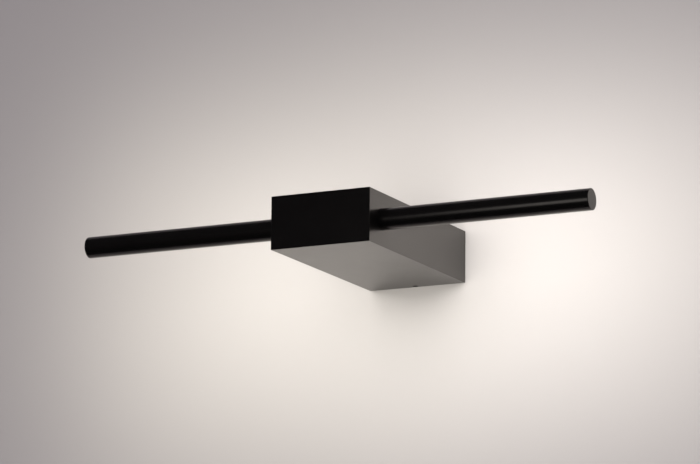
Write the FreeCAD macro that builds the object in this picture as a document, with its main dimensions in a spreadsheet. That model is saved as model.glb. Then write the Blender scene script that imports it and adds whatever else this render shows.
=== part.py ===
import FreeCAD, Part
import math
import os
import re
import Sketcher

# A slim tube light on a box-section wall arm, in millimetres.
# +X runs along the tube, +Y into the wall and +Z up. The origin is the centre of the wall
# bracket's back face, on the wall. The tube's pieces are drawn about their own axis and then
# placed tube_reach in front of the wall.

Vec = FreeCAD.Vector
Rule = Sketcher.Constraint

SIZES = [
    ("box_width", 100, "housing across"),
    ("box_height", 50, "housing height"),
    ("box_wall", 2, "wall of the housing section"),
    ("reach", 208, "wall to the housing's front face"),
    ("rear_gap", 0.8, "shadow gap between the housing and the wall"),
    ("corner_radius", 0.5, "rounding of the housing's outer edges"),
    ("front_plate", 3, "thickness of the front plate"),
    ("spigot_length", 5, "how far the front cap reaches into the section"),
    ("spigot_wall", 2, "wall of the front cap's spigot"),
    ("spigot_play", 0.2, "gap round the spigot"),
    ("tube_diameter", 20, "light tube outside"),
    ("tube_wall", 1.4, "wall of the light tube"),
    ("tube_length", 512, "light tube over its end caps"),
    ("tube_reach", 181, "wall to the tube's axis"),
    ("web_back", 0.5, "face of the strip web away from the mouth, from the axis"),
    ("web_front", 1.0, "face of the strip web that carries the strip, from the axis"),
    ("mouth_width", 12.5, "slot through which the light leaves"),
    ("cap_thickness", 2, "end cap disc"),
    ("cap_plug_length", 6, "end cap plug"),
    ("cap_plug_play", 0.1, "gap round the end cap plug"),
    ("cap_chamfer", 0.4, "end cap edge"),
    ("side_hole_play", 0.3, "gap round the tube in the housing's side"),
    ("lens_play", 0.1, "gap beside the diffuser, and how far it sits below the tube's surface"),
    ("lens_foot", 1.2, "wall of the diffuser's feet"),
    ("lens_foot_width", 14.4, "width over the diffuser's feet"),
    ("lens_gap", 1, "gap between the housing's side and the diffuser"),
    ("strip_width", 8, "circuit strip width"),
    ("strip_thickness", 1, "circuit strip thickness"),
    ("strip_start", 13, "inner end of a circuit strip, from the middle"),
    ("strip_end_gap", 1, "outer end of a circuit strip, from the end cap"),
    ("pad_inset", 3, "solder pads, from the strip's inner end"),
    ("chip_length", 3.5, "light chip along the strip"),
    ("chip_width", 2.8, "light chip across the strip"),
    ("chip_height", 0.8, "light chip height"),
    ("chip_pitch", 8.3, "light chip spacing"),
    ("chip_start", 57, "first light chip, from the middle"),
    ("chip_end_gap", 3, "least space past the last light chip"),
    ("sheet", 1.2, "tray sheet"),
    ("moulded_edge", 0.8, "bevel of the moulded cases"),
    ("tray_width", 93, "tray across its cheeks"),
    ("tray_lift", 2.2, "gap under the tray"),
    ("tray_front", 199, "front edge of the tray, from the wall"),
    ("tray_rear", 22, "rear edge of the tray, from the wall"),
    ("tray_side", 8.8, "height of the tray's low sides"),
    ("cheek_rear", 163, "rear edge of a cheek, from the wall"),
    ("cheek_top", 20, "top edge of a cheek, above the axis"),
    ("cheek_slope", 8, "how far a cheek runs back as it drops to the low side"),
    ("bush_length", 8.5, "bush inside its flange"),
    ("bush_outside", 25, "bush outside diameter"),
    ("bush_flange", 29, "bush flange diameter"),
    ("bush_flange_thickness", 1.3, "bush flange thickness"),
    ("bush_play", 0.05, "running gap between bush and tube"),
    ("collar_diameter", 27, "retaining collar"),
    ("collar_length", 8, "retaining collar length"),
    ("collar_gap", 0.2, "side gap of a collar, and how far its screw is sunk"),
    ("spring_height", 1.4, "disc spring height, as fitted"),
    ("spring_sheet", 0.6, "disc spring sheet"),
    ("spring_inside", 21, "disc spring bore"),
    ("stop_flange", 36.4, "stop collar's flange diameter"),
    ("stop_thickness", 3, "stop collar's flange thickness"),
    ("peg_orbit", 16.4, "stop peg, from the tube's axis"),
    ("peg_diameter", 2.5, "stop peg diameter"),
    ("turn_each_way", 90.4, "turn before the flange meets the peg, degrees"),
    ("bracket_width", 90, "wall bracket across"),
    ("bracket_height", 45, "wall bracket height"),
    ("bracket_sheet", 1.5, "wall bracket sheet"),
    ("bracket_depth", 14, "depth of the bracket's flanges"),
    ("bracket_bend", 2, "outside bend of the bracket"),
    ("screw_spacing", 60, "wall screws, centre to centre"),
    ("wall_slot_width", 4.5, "slot for a wall screw, width"),
    ("wall_slot_length", 10, "slot for a wall screw, end to end"),
    ("cable_hole", 12, "hole for the grommet"),
    ("dish_depth", 2, "depth of the dish round the cable hole"),
    ("dish_flat", 19, "flat of the dish"),
    ("dish_rim", 24, "where the dish meets the bracket's back"),
    ("dish_shift", 0.6, "how much wider the dish is on the room side"),
    ("grommet_outside", 16, "grommet lips"),
    ("grommet_bore", 8, "grommet bore"),
    ("grommet_lip", 1.5, "grommet lip thickness"),
    ("set_screw", 4, "fixing screw thread"),
    ("set_screw_length", 6, "fixing screw length"),
    ("set_screw_inset", 5, "fixing screw axis, from the wall"),
    ("set_screw_sink", 0.4, "fixing screw below the housing's face"),
    ("set_screw_hole", 5, "hole for the fixing screw in the housing"),
    ("screw_play", 0.2, "gap round a screw in its hole"),
    ("screw_tip", 1, "how far a screw stands out below the tray"),
    ("screwdriver_slot", 0.8, "width of a screwdriver recess"),
    ("screwdriver_depth", 1, "depth of a screwdriver recess"),
    ("earth_thread", 4, "earth screw thread"),
    ("earth_head", 7.6, "earth screw head"),
    ("earth_head_height", 2.4, "earth screw head height"),
    ("small_head", 5.6, "driver screw head"),
    ("small_head_height", 1.8, "driver screw head height"),
    ("block_screw", 2.5, "thread of the block's fixing and clamp screws"),
    ("block_head", 4.4, "block fixing screw head"),
    ("block_head_height", 1.6, "block fixing screw head height"),
    ("stud", 3, "weld stud thread"),
    ("stud_spread", 76, "weld studs, centre to centre across the housing"),
    ("nut_height", 2.4, "nut height"),
    ("nut_across", 5.5, "nut across flats"),
    ("driver_width", 45, "driver across"),
    ("driver_front", 156, "driver end that feeds the light, from the wall"),
    ("driver_rear", 60, "driver end that takes the supply, from the wall"),
    ("driver_height", 22, "driver height"),
    ("driver_base", 5, "driver base height at its ends"),
    ("driver_end", 12, "length of a driver's terminal space"),
    ("driver_clamp_inset", 8, "clamp rows of the driver, from its long sides"),
    ("driver_clamp_depth", 7, "clamp rows of the driver, along its length"),
    ("driver_clamp_height", 9, "clamp rows of the driver, height"),
    ("driver_tab", 6, "how far a driver tab stands out"),
    ("driver_tab_sheet", 3, "driver tab thickness"),
    ("cover_height", 12, "driver end cover height"),
    ("cover_wall", 1.2, "driver end cover wall"),
    ("block_width", 30, "terminal block across"),
    ("block_front", 40, "terminal block front, from the wall"),
    ("block_rear", 26, "terminal block rear, from the wall"),
    ("block_height", 13, "terminal block height"),
    ("block_recess", 4.8, "recess for a block fixing screw's head"),
    ("block_recess_depth", 3, "depth of that recess"),
    ("clamp_inset", 4, "clamp screws, from the block's faces"),
    ("clamp_screw_length", 4.5, "clamp screw length"),
    ("pole_pitch", 9, "terminal poles, centre to centre"),
    ("pole_height", 6, "terminal poles, above the tray"),
    ("barrel_outside", 4.4, "terminal barrel outside"),
    ("barrel_bore", 2.8, "terminal barrel bore"),
    ("barrel_inset", 1, "terminal barrel ends, from the block's faces"),
    ("lead_grip", 7, "how far a lead reaches into the block"),
    ("lug_ring", 8, "earth lug's ring"),
    ("lug_sheet", 0.8, "earth lug's sheet"),
    ("lug_neck", 3, "width of the earth lug's neck"),
    ("lug_wall", 0.6, "wall of the earth lug's crimp barrel"),
    ("mains_lead", 2.4, "mains lead over its insulation"),
    ("light_lead", 1.2, "lead to the light strips over its insulation"),
]

# Weld stud rows and driver screw rows (by side) from the wall, and the earth point's x and y.
STUD_ROWS = (70, 130)
DRIVER_SCREW_ROWS = {1: 84, -1: 132}
EARTH_POINT = (-34, -38)

# Two places closer than this are one place.
NEAR = 0.01

# Driver lead centres: distance to either side of the middle, and height.
MAINS_CLAMP = (7, -10)
LIGHT_CLAMPS = ((9, -10), (4.5, -13))

# Loops of the two light leads of a strip: height of the solder pad, the loop's distance in front
# of the wall (as y) and how far it runs out to the side.
LIGHT_LOOPS = ((2, -160.4, 27.5), (-2, -163.4, 24))

# Bend radii of the leads, about two diameters.
MAINS_BEND = 5
EARTH_BEND = 4
LIGHT_BEND = 2.5

doc = FreeCAD.newDocument("TubeWallLight")
sheet = doc.addObject("Spreadsheet::Sheet", "Sizes")


def fill_sheet():
    for row, (alias, number, note) in enumerate(SIZES, start=1):
        sheet.set(f"A{row}", alias)
        sheet.set(f"B{row}", str(number))
        sheet.set(f"C{row}", note)
        sheet.setAlias(f"B{row}", alias)
    doc.recompute()


ALIASES = {alias for alias, _, _ in SIZES}


def value(size):
    """The present value of an expression in the sheet's aliases."""
    return float(sheet.evalExpression(str(size)))


def bind(target, name, size, unit=""):
    """Bind a property to an expression in the sheet's aliases."""
    text = re.sub(r"[a-z_]+", lambda m: "Sizes." + m[0] if m[0] in ALIASES else m[0], str(size))
    target.setExpression(name, f"({text}){unit}")


def origin_feature(body, role):
    return next(item for item in body.Origin.OriginFeatures if item.Role == role)


def new_body(label):
    body = doc.addObject("PartDesign::Body", label)
    body.Label = label
    return body


def new_sketch(body, plane, offset="0"):
    """A sketch on XY (offset up), YZ (offset to +X) or XZ (offset away from the wall)."""
    sketch = body.newObject("Sketcher::SketchObject", f"{body.Name}_sketch")
    sketch.AttachmentSupport = [(origin_feature(body, f"{plane}_Plane"), "")]
    sketch.MapMode = "FlatFace"
    bind(sketch, "AttachmentOffset.Base.z", offset)
    return sketch


def ruled(sketch, kind, *what, size):
    """Add a dimension and bind it to the sheet."""
    index = sketch.addConstraint(Rule(kind, *what, value(size)))
    bind(sketch, f"Constraints[{index}]", size)


def pin_point(sketch, shape, point, x, y):
    ruled(sketch, "DistanceX", -1, 1, shape, point, size=x)
    ruled(sketch, "DistanceY", -1, 1, shape, point, size=y)


def outline(sketch, corners):
    """A closed outline of straight lines through the corners, each an (x, y) pair of sizes."""
    places = [Vec(value(x), value(y), 0) for x, y in corners]
    lines = [sketch.addGeometry(Part.LineSegment(start, end), False)
             for start, end in zip(places, places[1:] + places[:1])]
    for line, after in zip(lines, lines[1:] + lines[:1]):
        sketch.addConstraint(Rule("Coincident", line, 2, after, 1))
    for line, (x, y) in zip(lines, corners):
        pin_point(sketch, line, 1, x, y)


def rectangle(sketch, left, bottom, right, top):
    outline(sketch, [(left, bottom), (right, bottom), (right, top), (left, top)])


def circle(sketch, x, y, radius):
    ring = sketch.addGeometry(Part.Circle(Vec(value(x), value(y), 0), Vec(0, 0, 1), value(radius)))
    pin_point(sketch, ring, 3, x, y)
    ruled(sketch, "Radius", ring, size=radius)


def arc_about(sketch, centre, radius, start, end):
    ring = Part.Circle(centre, Vec(0, 0, 1), radius)
    return sketch.addGeometry(Part.ArcOfCircle(ring, start, end), False)


def slot(sketch, x, y, length, width):
    """A slot along the sketch's first axis, centred on (x, y)."""
    half = value(f"({length} - {width}) / 2")
    radius = value(width) / 2
    middle = Vec(value(x), value(y), 0)
    step = Vec(half, 0, 0)
    rise = Vec(0, radius, 0)
    quarter = math.pi / 2
    right = arc_about(sketch, middle + step, radius, -quarter, quarter)
    left = arc_about(sketch, middle - step, radius, quarter, 3 * quarter)
    top = sketch.addGeometry(Part.LineSegment(middle + step + rise, middle - step + rise), False)
    bottom = sketch.addGeometry(Part.LineSegment(middle - step - rise, middle + step - rise), False)
    for first, second in ((right, top), (top, left), (left, bottom), (bottom, right)):
        sketch.addConstraint(Rule("Tangent", first, 2, second, 1))
    pin_point(sketch, right, 3, f"{x} + ({length} - {width}) / 2", y)
    pin_point(sketch, left, 3, f"{x} - ({length} - {width}) / 2", y)
    ruled(sketch, "Radius", right, size=f"{width} / 2")
    sketch.addConstraint(Rule("Equal", right, left))


def circle_segment(sketch, radius, chord, towards):
    """The part of a circle beyond a chord at x = chord, on the side given by towards."""
    size, at = value(radius), value(chord)
    spread = math.acos(at / size)
    start, end = (-spread, spread) if towards > 0 else (spread, 2 * math.pi - spread)
    arc = arc_about(sketch, Vec(0, 0, 0), size, start, end)
    ends = [Vec(at, size * math.sin(angle), 0) for angle in (end, start)]
    line = sketch.addGeometry(Part.LineSegment(*ends), False)
    sketch.addConstraint(Rule("Coincident", arc, 3, -1, 1))
    sketch.addConstraint(Rule("Coincident", arc, 2, line, 1))
    sketch.addConstraint(Rule("Coincident", line, 2, arc, 1))
    sketch.addConstraint(Rule("Vertical", line))
    ruled(sketch, "Radius", arc, size=radius)
    ruled(sketch, "DistanceX", -1, 1, line, 1, size=chord)


def sector(sketch, radius, notch_half):
    """A disc sector that leaves out notch_half degrees on each side of the second axis."""
    size = value(radius)
    start = math.pi / 2 + math.radians(value(notch_half))
    end = math.pi / 2 - math.radians(value(notch_half))
    arc = arc_about(sketch, Vec(0, 0, 0), size, start, end + 2 * math.pi)
    sketch.addConstraint(Rule("Coincident", arc, 3, -1, 1))
    ruled(sketch, "Radius", arc, size=radius)
    for angle, corner, side in ((start, 1, "+"), (end, 2, "-")):
        tip = Vec(size * math.cos(angle), size * math.sin(angle), 0)
        line = sketch.addGeometry(Part.LineSegment(Vec(0, 0, 0), tip), False)
        sketch.addConstraint(Rule("Coincident", line, 1, -1, 1))
        sketch.addConstraint(Rule("Coincident", line, 2, arc, corner))
        index = sketch.addConstraint(Rule("Angle", line, angle))
        bind(sketch, f"Constraints[{index}]", f"90 {side} ({notch_half})", unit=" * 1 deg")


def pad(body, sketch, length, both_ways=False):
    feature = body.newObject("PartDesign::Pad", f"{body.Name}_pad")
    feature.Profile = sketch
    feature.Midplane = both_ways
    bind(feature, "Length", length)
    doc.recompute()
    return feature


def cut_through(body, sketch, length):
    """Cut the sketch out of the body, length / 2 each way from its plane."""
    before = body.Shape.Volume
    feature = body.newObject("PartDesign::Pocket", f"{body.Name}_pocket")
    feature.Profile = sketch
    feature.Midplane = True
    bind(feature, "Length", length)
    doc.recompute()
    if body.Shape.Volume > before - NEAR:
        raise RuntimeError(f"{body.Label}: a pocket cuts nothing")
    return feature


def revolve(body, sketch, axis):
    feature = body.newObject("PartDesign::Revolution", f"{body.Name}_revolution")
    feature.Profile = sketch
    feature.ReferenceAxis = (origin_feature(body, f"{axis}_Axis"), "")
    feature.Angle = 360
    doc.recompute()
    return feature


def soften(body, feature, kind, size, wanted):
    """Fillet or chamfer the edges whose bounding box passes the wanted test."""
    names = [f"Edge{number}" for number, edge in enumerate(feature.Shape.Edges, start=1)
             if wanted(edge.BoundBox)]
    finish = body.newObject(f"PartDesign::{kind}", f"{body.Name}_{kind.lower()}")
    finish.Base = (feature, names)
    bind(finish, "Radius" if kind == "Fillet" else "Size", size)
    doc.recompute()
    return finish


def place(piece, x="0", y="0", z="0"):
    for axis, size in zip("xyz", (x, y, z)):
        bind(piece, f"Placement.Base.{axis}", size)


def labelled(piece, label):
    piece.Label = label
    return piece


# Directions of a rod or hexagon, as a turn of its own Z axis.
TURNS = {"X": FreeCAD.Rotation(Vec(0, 1, 0), 90), "Y": FreeCAD.Rotation(Vec(1, 0, 0), -90),
         "Z": FreeCAD.Rotation()}


def box(low, high):
    """A block from its lowest to its highest corner."""
    block = doc.addObject("Part::Box", "block")
    for name, start, end in zip(("Length", "Width", "Height"), low, high):
        bind(block, name, f"({end}) - ({start})")
    place(block, *low)
    return block


def rod(axis, start, radius, length):
    """A cylinder from its start point along +X, +Y or +Z."""
    cylinder = doc.addObject("Part::Cylinder", "rod")
    cylinder.Placement.Rotation = TURNS[axis]
    bind(cylinder, "Radius", radius)
    bind(cylinder, "Height", length)
    place(cylinder, *start)
    return cylinder


def hexagon(axis, start, across, length):
    prism = doc.addObject("Part::Prism", "hexagon")
    prism.Polygon = 6
    prism.Placement.Rotation = TURNS[axis]
    bind(prism, "Circumradius", f"({across}) / 2 / cos(30 deg)")
    bind(prism, "Height", length)
    place(prism, *start)
    return prism


def cut(base, *tools):
    for tool in tools:
        result = doc.addObject("Part::Cut", "cut")
        result.Base, result.Tool = base, tool
        base = result
    return base


def fuse(*pieces):
    result = doc.addObject("Part::MultiFuse", "fuse")
    result.Shapes = list(pieces)
    return result


def common(first, second):
    result = doc.addObject("Part::Common", "common")
    result.Base, result.Tool = first, second
    return result


def group(label, pieces):
    """Like pieces, each a separate solid, in one node."""
    result = doc.addObject("Part::Compound", label)
    result.Links = list(pieces)
    return labelled(result, label)


# Heights inside the housing.
INNER_BOTTOM = "-(box_height / 2 - box_wall)"
TRAY_UNDER = f"{INNER_BOTTOM} + tray_lift"
TRAY_TOP = f"{TRAY_UNDER} + sheet"
POLE = f"{TRAY_TOP} + pole_height"

# The earth lug's crimp barrel: from the screw, its length and its axis height.
LUG_BARREL_START = 6
LUG_BARREL_LENGTH = 6
LUG_HEIGHT = f"{TRAY_TOP} + mains_lead / 2 + lug_wall"


# ---- The wall side ----

def wall_bracket():
    """A folded channel against the wall, with a forward dish round the cable hole."""
    body = new_body("wall_bracket")
    side = new_sketch(body, "YZ")
    half, inner = "bracket_height / 2", "bracket_height / 2 - bracket_sheet"
    outline(side, [("0", f"-({half})"), ("0", half), ("-bracket_depth", half),
                   ("-bracket_depth", inner), ("-bracket_sheet", inner),
                   ("-bracket_sheet", f"-({inner})"), ("-bracket_depth", f"-({inner})"),
                   ("-bracket_depth", f"-({half})")])
    channel = pad(body, side, "bracket_width", both_ways=True)
    width, room_side = value("bracket_width"), -value("bracket_sheet")
    bends = soften(body, channel, "Fillet", "bracket_bend",
                   lambda edge: edge.XLength > width - NEAR and edge.YMin > -NEAR)
    soften(body, bends, "Fillet", "bracket_bend - bracket_sheet",
           lambda edge: edge.XLength > width - NEAR and abs(edge.YMin - room_side) < NEAR
           and abs(edge.YMax - room_side) < NEAR)
    dish_hole = new_sketch(body, "XZ")
    circle(dish_hole, "0", "0", "dish_rim / 2")
    cut_through(body, dish_hole, "4 * bracket_sheet")
    dish = new_sketch(body, "XY")
    joint = "dish_rim / 2 + 2 * dish_shift"
    outline(dish, [("cable_hole / 2", "-dish_depth"), ("dish_flat / 2", "-dish_depth"),
                   ("dish_rim / 2", "0"), (joint, "0"), (joint, "-bracket_sheet"),
                   ("dish_rim / 2 + dish_shift", "-bracket_sheet"),
                   ("dish_flat / 2 + dish_shift", "-dish_depth - bracket_sheet"),
                   ("cable_hole / 2", "-dish_depth - bracket_sheet")])
    revolve(body, dish, "Y")
    slots = new_sketch(body, "XZ")
    for side_sign in (-1, 1):
        slot(slots, f"{side_sign} * screw_spacing / 2", "0", "wall_slot_length", "wall_slot_width")
    cut_through(body, slots, "4 * bracket_sheet")
    threads = new_sketch(body, "XY")
    circle(threads, "0", "-set_screw_inset", "set_screw / 2")
    cut_through(body, threads, "2 * bracket_height")
    return body


def cable_grommet():
    body = new_body("cable_grommet")
    ring = new_sketch(body, "XY")
    lip, groove, bore = "grommet_outside / 2", "cable_hole / 2", "grommet_bore / 2"
    back, front = "-dish_depth", "-dish_depth - bracket_sheet"
    narrow = f"{lip} - grommet_lip / 2"
    outline(ring, [(bore, f"{back} + grommet_lip"), (narrow, f"{back} + grommet_lip"),
                   (lip, back), (groove, back), (groove, front), (lip, front),
                   (narrow, f"{front} - grommet_lip"), (bore, f"{front} - grommet_lip")])
    revolve(body, ring, "Y")
    return body


def socket_screw(x, y, start, end, radius, across):
    """A headless screw along Z, with its hexagon socket at the end point."""
    low, high = sorted((start, end), key=value)
    shank = rod("Z", (x, y, low), radius, f"({high}) - ({low})")
    depth = f"1.5 * ({across})"
    mouth = f"({end}) - {depth}" if value(end) > value(start) else end
    return cut(shank, hexagon("Z", (x, y, mouth), across, depth))


def fixing_screws():
    """Two socket screws, in the top and the bottom of the housing, into the bracket's flanges."""
    outer = "box_height / 2 - set_screw_sink"
    inner = f"{outer} - set_screw_length"
    return group("fixing_screws", [
        socket_screw("0", "-set_screw_inset", f"{sign} * ({inner})", f"{sign} * ({outer})",
                     "set_screw / 2", "set_screw / 2") for sign in (-1, 1)])


# ---- The housing ----

def housing_sleeve():
    """The rectangular section, open to the wall, with a hole each side for the tube."""
    body = new_body("housing_sleeve")
    section = new_sketch(body, "XZ", "rear_gap")
    half_x, half_z = "box_width / 2", "box_height / 2"
    rectangle(section, f"-{half_x}", f"-{half_z}", half_x, half_z)
    rectangle(section, f"-{half_x} + box_wall", f"-{half_z} + box_wall",
              f"{half_x} - box_wall", f"{half_z} - box_wall")
    tube = pad(body, section, "reach - front_plate - rear_gap")
    corner_x, length = value(half_x), value("reach - front_plate - rear_gap")
    soften(body, tube, "Fillet", "corner_radius",
           lambda edge: edge.YLength > length - NEAR and abs(edge.XMin) > corner_x - NEAR)
    sides = new_sketch(body, "YZ")
    circle(sides, "-tube_reach", "0", "tube_diameter / 2 + side_hole_play")
    cut_through(body, sides, "2 * box_width")
    holes = new_sketch(body, "XY")
    circle(holes, "0", "-set_screw_inset", "set_screw_hole / 2")
    cut_through(body, holes, "2 * box_height")
    return body


def front_cap():
    """The front plate, flush with the section, on a spigot that is bonded inside it."""
    body = new_body("front_cap")
    plate = new_sketch(body, "XZ", "reach - front_plate")
    half_x, half_z = "box_width / 2", "box_height / 2"
    rectangle(plate, f"-{half_x}", f"-{half_z}", half_x, half_z)
    pad(body, plate, "front_plate")
    spigot = new_sketch(body, "XZ", "reach - front_plate - spigot_length")
    out_x, out_z = "box_width / 2 - box_wall - spigot_play", "box_height / 2 - box_wall - spigot_play"
    rectangle(spigot, f"-({out_x})", f"-({out_z})", out_x, out_z)
    rectangle(spigot, f"-({out_x} - spigot_wall)", f"-({out_z} - spigot_wall)",
              f"{out_x} - spigot_wall", f"{out_z} - spigot_wall")
    whole = pad(body, spigot, "spigot_length")
    corner_x, front = value(half_x), -value("reach")
    soften(body, whole, "Fillet", "corner_radius",
           lambda edge: edge.YMax < front + NEAR
           or (edge.XLength < NEAR and edge.ZLength < NEAR and abs(edge.XMin) > corner_x - NEAR))
    return body


def stud_places():
    half = "stud_spread / 2"
    return [(f"{sign} * {half}", f"-{row}") for sign in (-1, 1) for row in STUD_ROWS]


def weld_studs():
    return group("weld_studs", [
        rod("Z", (x, y, INNER_BOTTOM), "stud / 2", "tray_lift + sheet + nut_height + stud / 2")
        for x, y in stud_places()])


def stud_spacers():
    return group("stud_spacers", [
        cut(rod("Z", (x, y, INNER_BOTTOM), "1.2 * stud", "tray_lift"),
            rod("Z", (x, y, INNER_BOTTOM), "stud / 2", "tray_lift")) for x, y in stud_places()])


def tray_nuts():
    return group("tray_nuts", [
        cut(hexagon("Z", (x, y, TRAY_TOP), "nut_across", "nut_height"),
            rod("Z", (x, y, TRAY_TOP), "stud / 2", "nut_height")) for x, y in stud_places()])


# ---- The tray that carries the tube and the driver ----

def driver_tab_places():
    across = "(driver_width / 2 + driver_tab / 2)"
    return [(f"{sign} * {across}", f"-{row}") for sign, row in DRIVER_SCREW_ROWS.items()]


def block_screw_places():
    middle = "-(block_front + block_rear) / 2"
    return [(f"{sign} * pole_pitch / 2", middle) for sign in (-1, 1)]


def chassis_tray():
    """A folded tray: low sides, and a high cheek each side of the tube's bushes."""
    body = new_body("chassis_tray")
    side = new_sketch(body, "YZ")
    low_side = f"{TRAY_UNDER} + tray_side"
    outline(side, [("-tray_front", TRAY_UNDER), ("-tray_rear", TRAY_UNDER),
                   ("-tray_rear", low_side), ("-cheek_rear + cheek_slope", low_side),
                   ("-cheek_rear", "cheek_top"), ("-tray_front", "cheek_top")])
    blank = pad(body, side, "tray_width", both_ways=True)
    half, under = value("tray_width / 2"), value(TRAY_UNDER)
    soften(body, blank, "Fillet", "2 * sheet",
           lambda edge: edge.XLength < NEAR and abs(edge.XMin) > half - NEAR
           and edge.ZMax < under + NEAR)
    inside = new_sketch(body, "XZ")
    inner = "tray_width / 2 - sheet"
    outline(inside, [(f"-({inner})", f"{TRAY_TOP} + sheet"), (f"-({inner} - sheet)", TRAY_TOP),
                     (f"{inner} - sheet", TRAY_TOP), (inner, f"{TRAY_TOP} + sheet"),
                     (inner, "box_height"), (f"-({inner})", "box_height")])
    cut_through(body, inside, "3 * reach")
    cheeks = new_sketch(body, "YZ")
    circle(cheeks, "-tube_reach", "0", "bush_outside / 2")
    circle(cheeks, "-tube_reach", "peg_orbit", "peg_diameter / 2")
    cut_through(body, cheeks, "2 * tray_width")
    floor = new_sketch(body, "XY", TRAY_TOP)
    for x, y in stud_places() + driver_tab_places():
        circle(floor, x, y, "stud / 2")
    for x, y in block_screw_places():
        circle(floor, x, y, "block_screw / 2")
    circle(floor, EARTH_POINT[0], EARTH_POINT[1], "earth_thread / 2")
    cut_through(body, floor, "4 * sheet")
    return body


def bush(label, turn):
    """A flanged bush, its flange between the cheek and the housing's side."""
    body = new_body(label)
    ring = new_sketch(body, "XY")
    bore = "tube_diameter / 2 + bush_play"
    inner, cheek = "tray_width / 2 - bush_length", "tray_width / 2"
    outer = f"{cheek} + bush_flange_thickness"
    outline(ring, [(inner, bore), (outer, bore), (outer, "bush_flange / 2"),
                   (cheek, "bush_flange / 2"), (cheek, "bush_outside / 2"),
                   (inner, "bush_outside / 2")])
    revolve(body, ring, "X")
    body.Placement.Rotation = FreeCAD.Rotation(Vec(0, 0, 1), turn)
    place(body, y="-tube_reach")
    return body


def disc_spring():
    """A coned disc between the right bush and its collar, which keeps the tube where it is set."""
    body = new_body("disc_spring")
    ring = new_sketch(body, "XY")
    outer_end = "tray_width / 2 - bush_length"
    inner_end = f"{outer_end} - spring_height"
    outline(ring, [(inner_end, "spring_inside / 2"), (f"{inner_end} + spring_sheet", "spring_inside / 2"),
                   (outer_end, "bush_outside / 2"), (f"{outer_end} - spring_sheet", "bush_outside / 2")])
    revolve(body, ring, "X")
    place(body, y="-tube_reach")
    return body


def stop_peg():
    """A peg in the left cheek that the stop collar's flange runs up against."""
    start = "-tray_width / 2"
    end = "-(tray_width / 2 - bush_length - collar_gap - stop_thickness)"
    peg = rod("X", (start, "-tube_reach", "peg_orbit"), "peg_diameter / 2", f"{end} - ({start})")
    return labelled(peg, "stop_peg")


# ---- The driver and the terminals ----

def led_driver():
    """A driver in a long case with a clamp row at each end, and a fixing tab each side."""
    body = new_body("led_driver")
    half = "driver_width / 2"
    base = new_sketch(body, "XY", TRAY_TOP)
    rectangle(base, f"-{half}", "-driver_front", half, "-driver_rear")
    pad(body, base, "driver_base")
    case = new_sketch(body, "XY", TRAY_TOP)
    rectangle(case, f"-{half}", "-driver_front + driver_end", half, "-driver_rear - driver_end")
    main = pad(body, case, "driver_height")
    top = value(f"{TRAY_TOP} + driver_height")
    soften(body, main, "Chamfer", "moulded_edge", lambda edge: edge.ZMin > top - NEAR)
    clamps = new_sketch(body, "XY", f"{TRAY_TOP} + driver_base")
    row = "driver_width / 2 - driver_clamp_inset"
    front, rear = "-driver_front + driver_end", "-driver_rear - driver_end"
    rectangle(clamps, f"-({row})", f"{front} - driver_clamp_depth", row, front)
    rectangle(clamps, f"-({row})", rear, row, f"{rear} + driver_clamp_depth")
    pad(body, clamps, "driver_clamp_height")
    tabs = new_sketch(body, "XY", TRAY_TOP)
    for sign, y in DRIVER_SCREW_ROWS.items():
        ends = sorted((f"{sign} * {half}", f"{sign} * ({half} + driver_tab)"), key=value)
        rectangle(tabs, ends[0], f"-{y} - driver_tab", ends[1], f"-{y} + driver_tab")
    pad(body, tabs, "driver_tab_sheet")
    holes = new_sketch(body, "XY", TRAY_TOP)
    for x, y in driver_tab_places():
        circle(holes, x, y, "stud / 2 + screw_play")
    cut_through(body, holes, "4 * driver_tab_sheet")
    return body


def driver_covers():
    """A cover over the clamps at each end of the driver, with holes for the leads."""
    floor, roof = f"{TRAY_TOP} + driver_base", f"{TRAY_TOP} + driver_base + cover_height"
    half = "driver_width / 2"
    front, rear = "-driver_front", "-driver_rear"
    light_holes = [rod("Y", (f"{sign * x}", front, str(z)), "light_lead / 2", "cover_wall")
                   for sign in (-1, 1) for x, z in LIGHT_CLAMPS]
    mains_holes = [rod("Y", (f"{sign * MAINS_CLAMP[0]}", f"{rear} - cover_wall", MAINS_CLAMP[1]),
                       "mains_lead / 2", "cover_wall") for sign in (-1, 1)]
    light_end = cut(box((f"-{half}", front, floor), (half, f"{front} + driver_end", roof)),
                    box((f"-{half} + cover_wall", f"{front} + cover_wall", floor),
                        (f"{half} - cover_wall", f"{front} + driver_end", f"{roof} - cover_wall")),
                    *light_holes)
    mains_end = cut(box((f"-{half}", f"{rear} - driver_end", floor), (half, rear, roof)),
                    box((f"-{half} + cover_wall", f"{rear} - driver_end", floor),
                        (f"{half} - cover_wall", f"{rear} - cover_wall", f"{roof} - cover_wall")),
                    *mains_holes)
    return group("driver_covers", [light_end, mains_end])


def head_screw(x, y, seat, head, thread, length):
    """A flat-head screw on its seat, with a cross recess. head names the sheet's head sizes."""
    cap = rod("Z", (x, y, seat), f"{head} / 2", f"{head}_height")
    shank = rod("Z", (x, y, f"{seat} - ({length})"), f"{thread} / 2", length)
    top = f"{seat} + {head}_height"
    narrow, reach_out = "screwdriver_slot / 2", f"{head} / 3"
    recess = [box((f"{x} - {along}", f"{y} - {across}", f"{top} - screwdriver_depth"),
                  (f"{x} + {along}", f"{y} + {across}", top))
              for along, across in ((reach_out, narrow), (narrow, reach_out))]
    return cut(fuse(cap, shank), *recess)


def driver_screws():
    return group("driver_screws", [
        head_screw(x, y, f"{TRAY_TOP} + driver_tab_sheet", "small_head", "stud",
                   "driver_tab_sheet + sheet + screw_tip") for x, y in driver_tab_places()])


def pole_places():
    return [f"{pole} * pole_pitch" for pole in (-1, 0, 1)]


def clamp_rows():
    return ("-block_front + clamp_inset", "-block_rear - clamp_inset")


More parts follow.
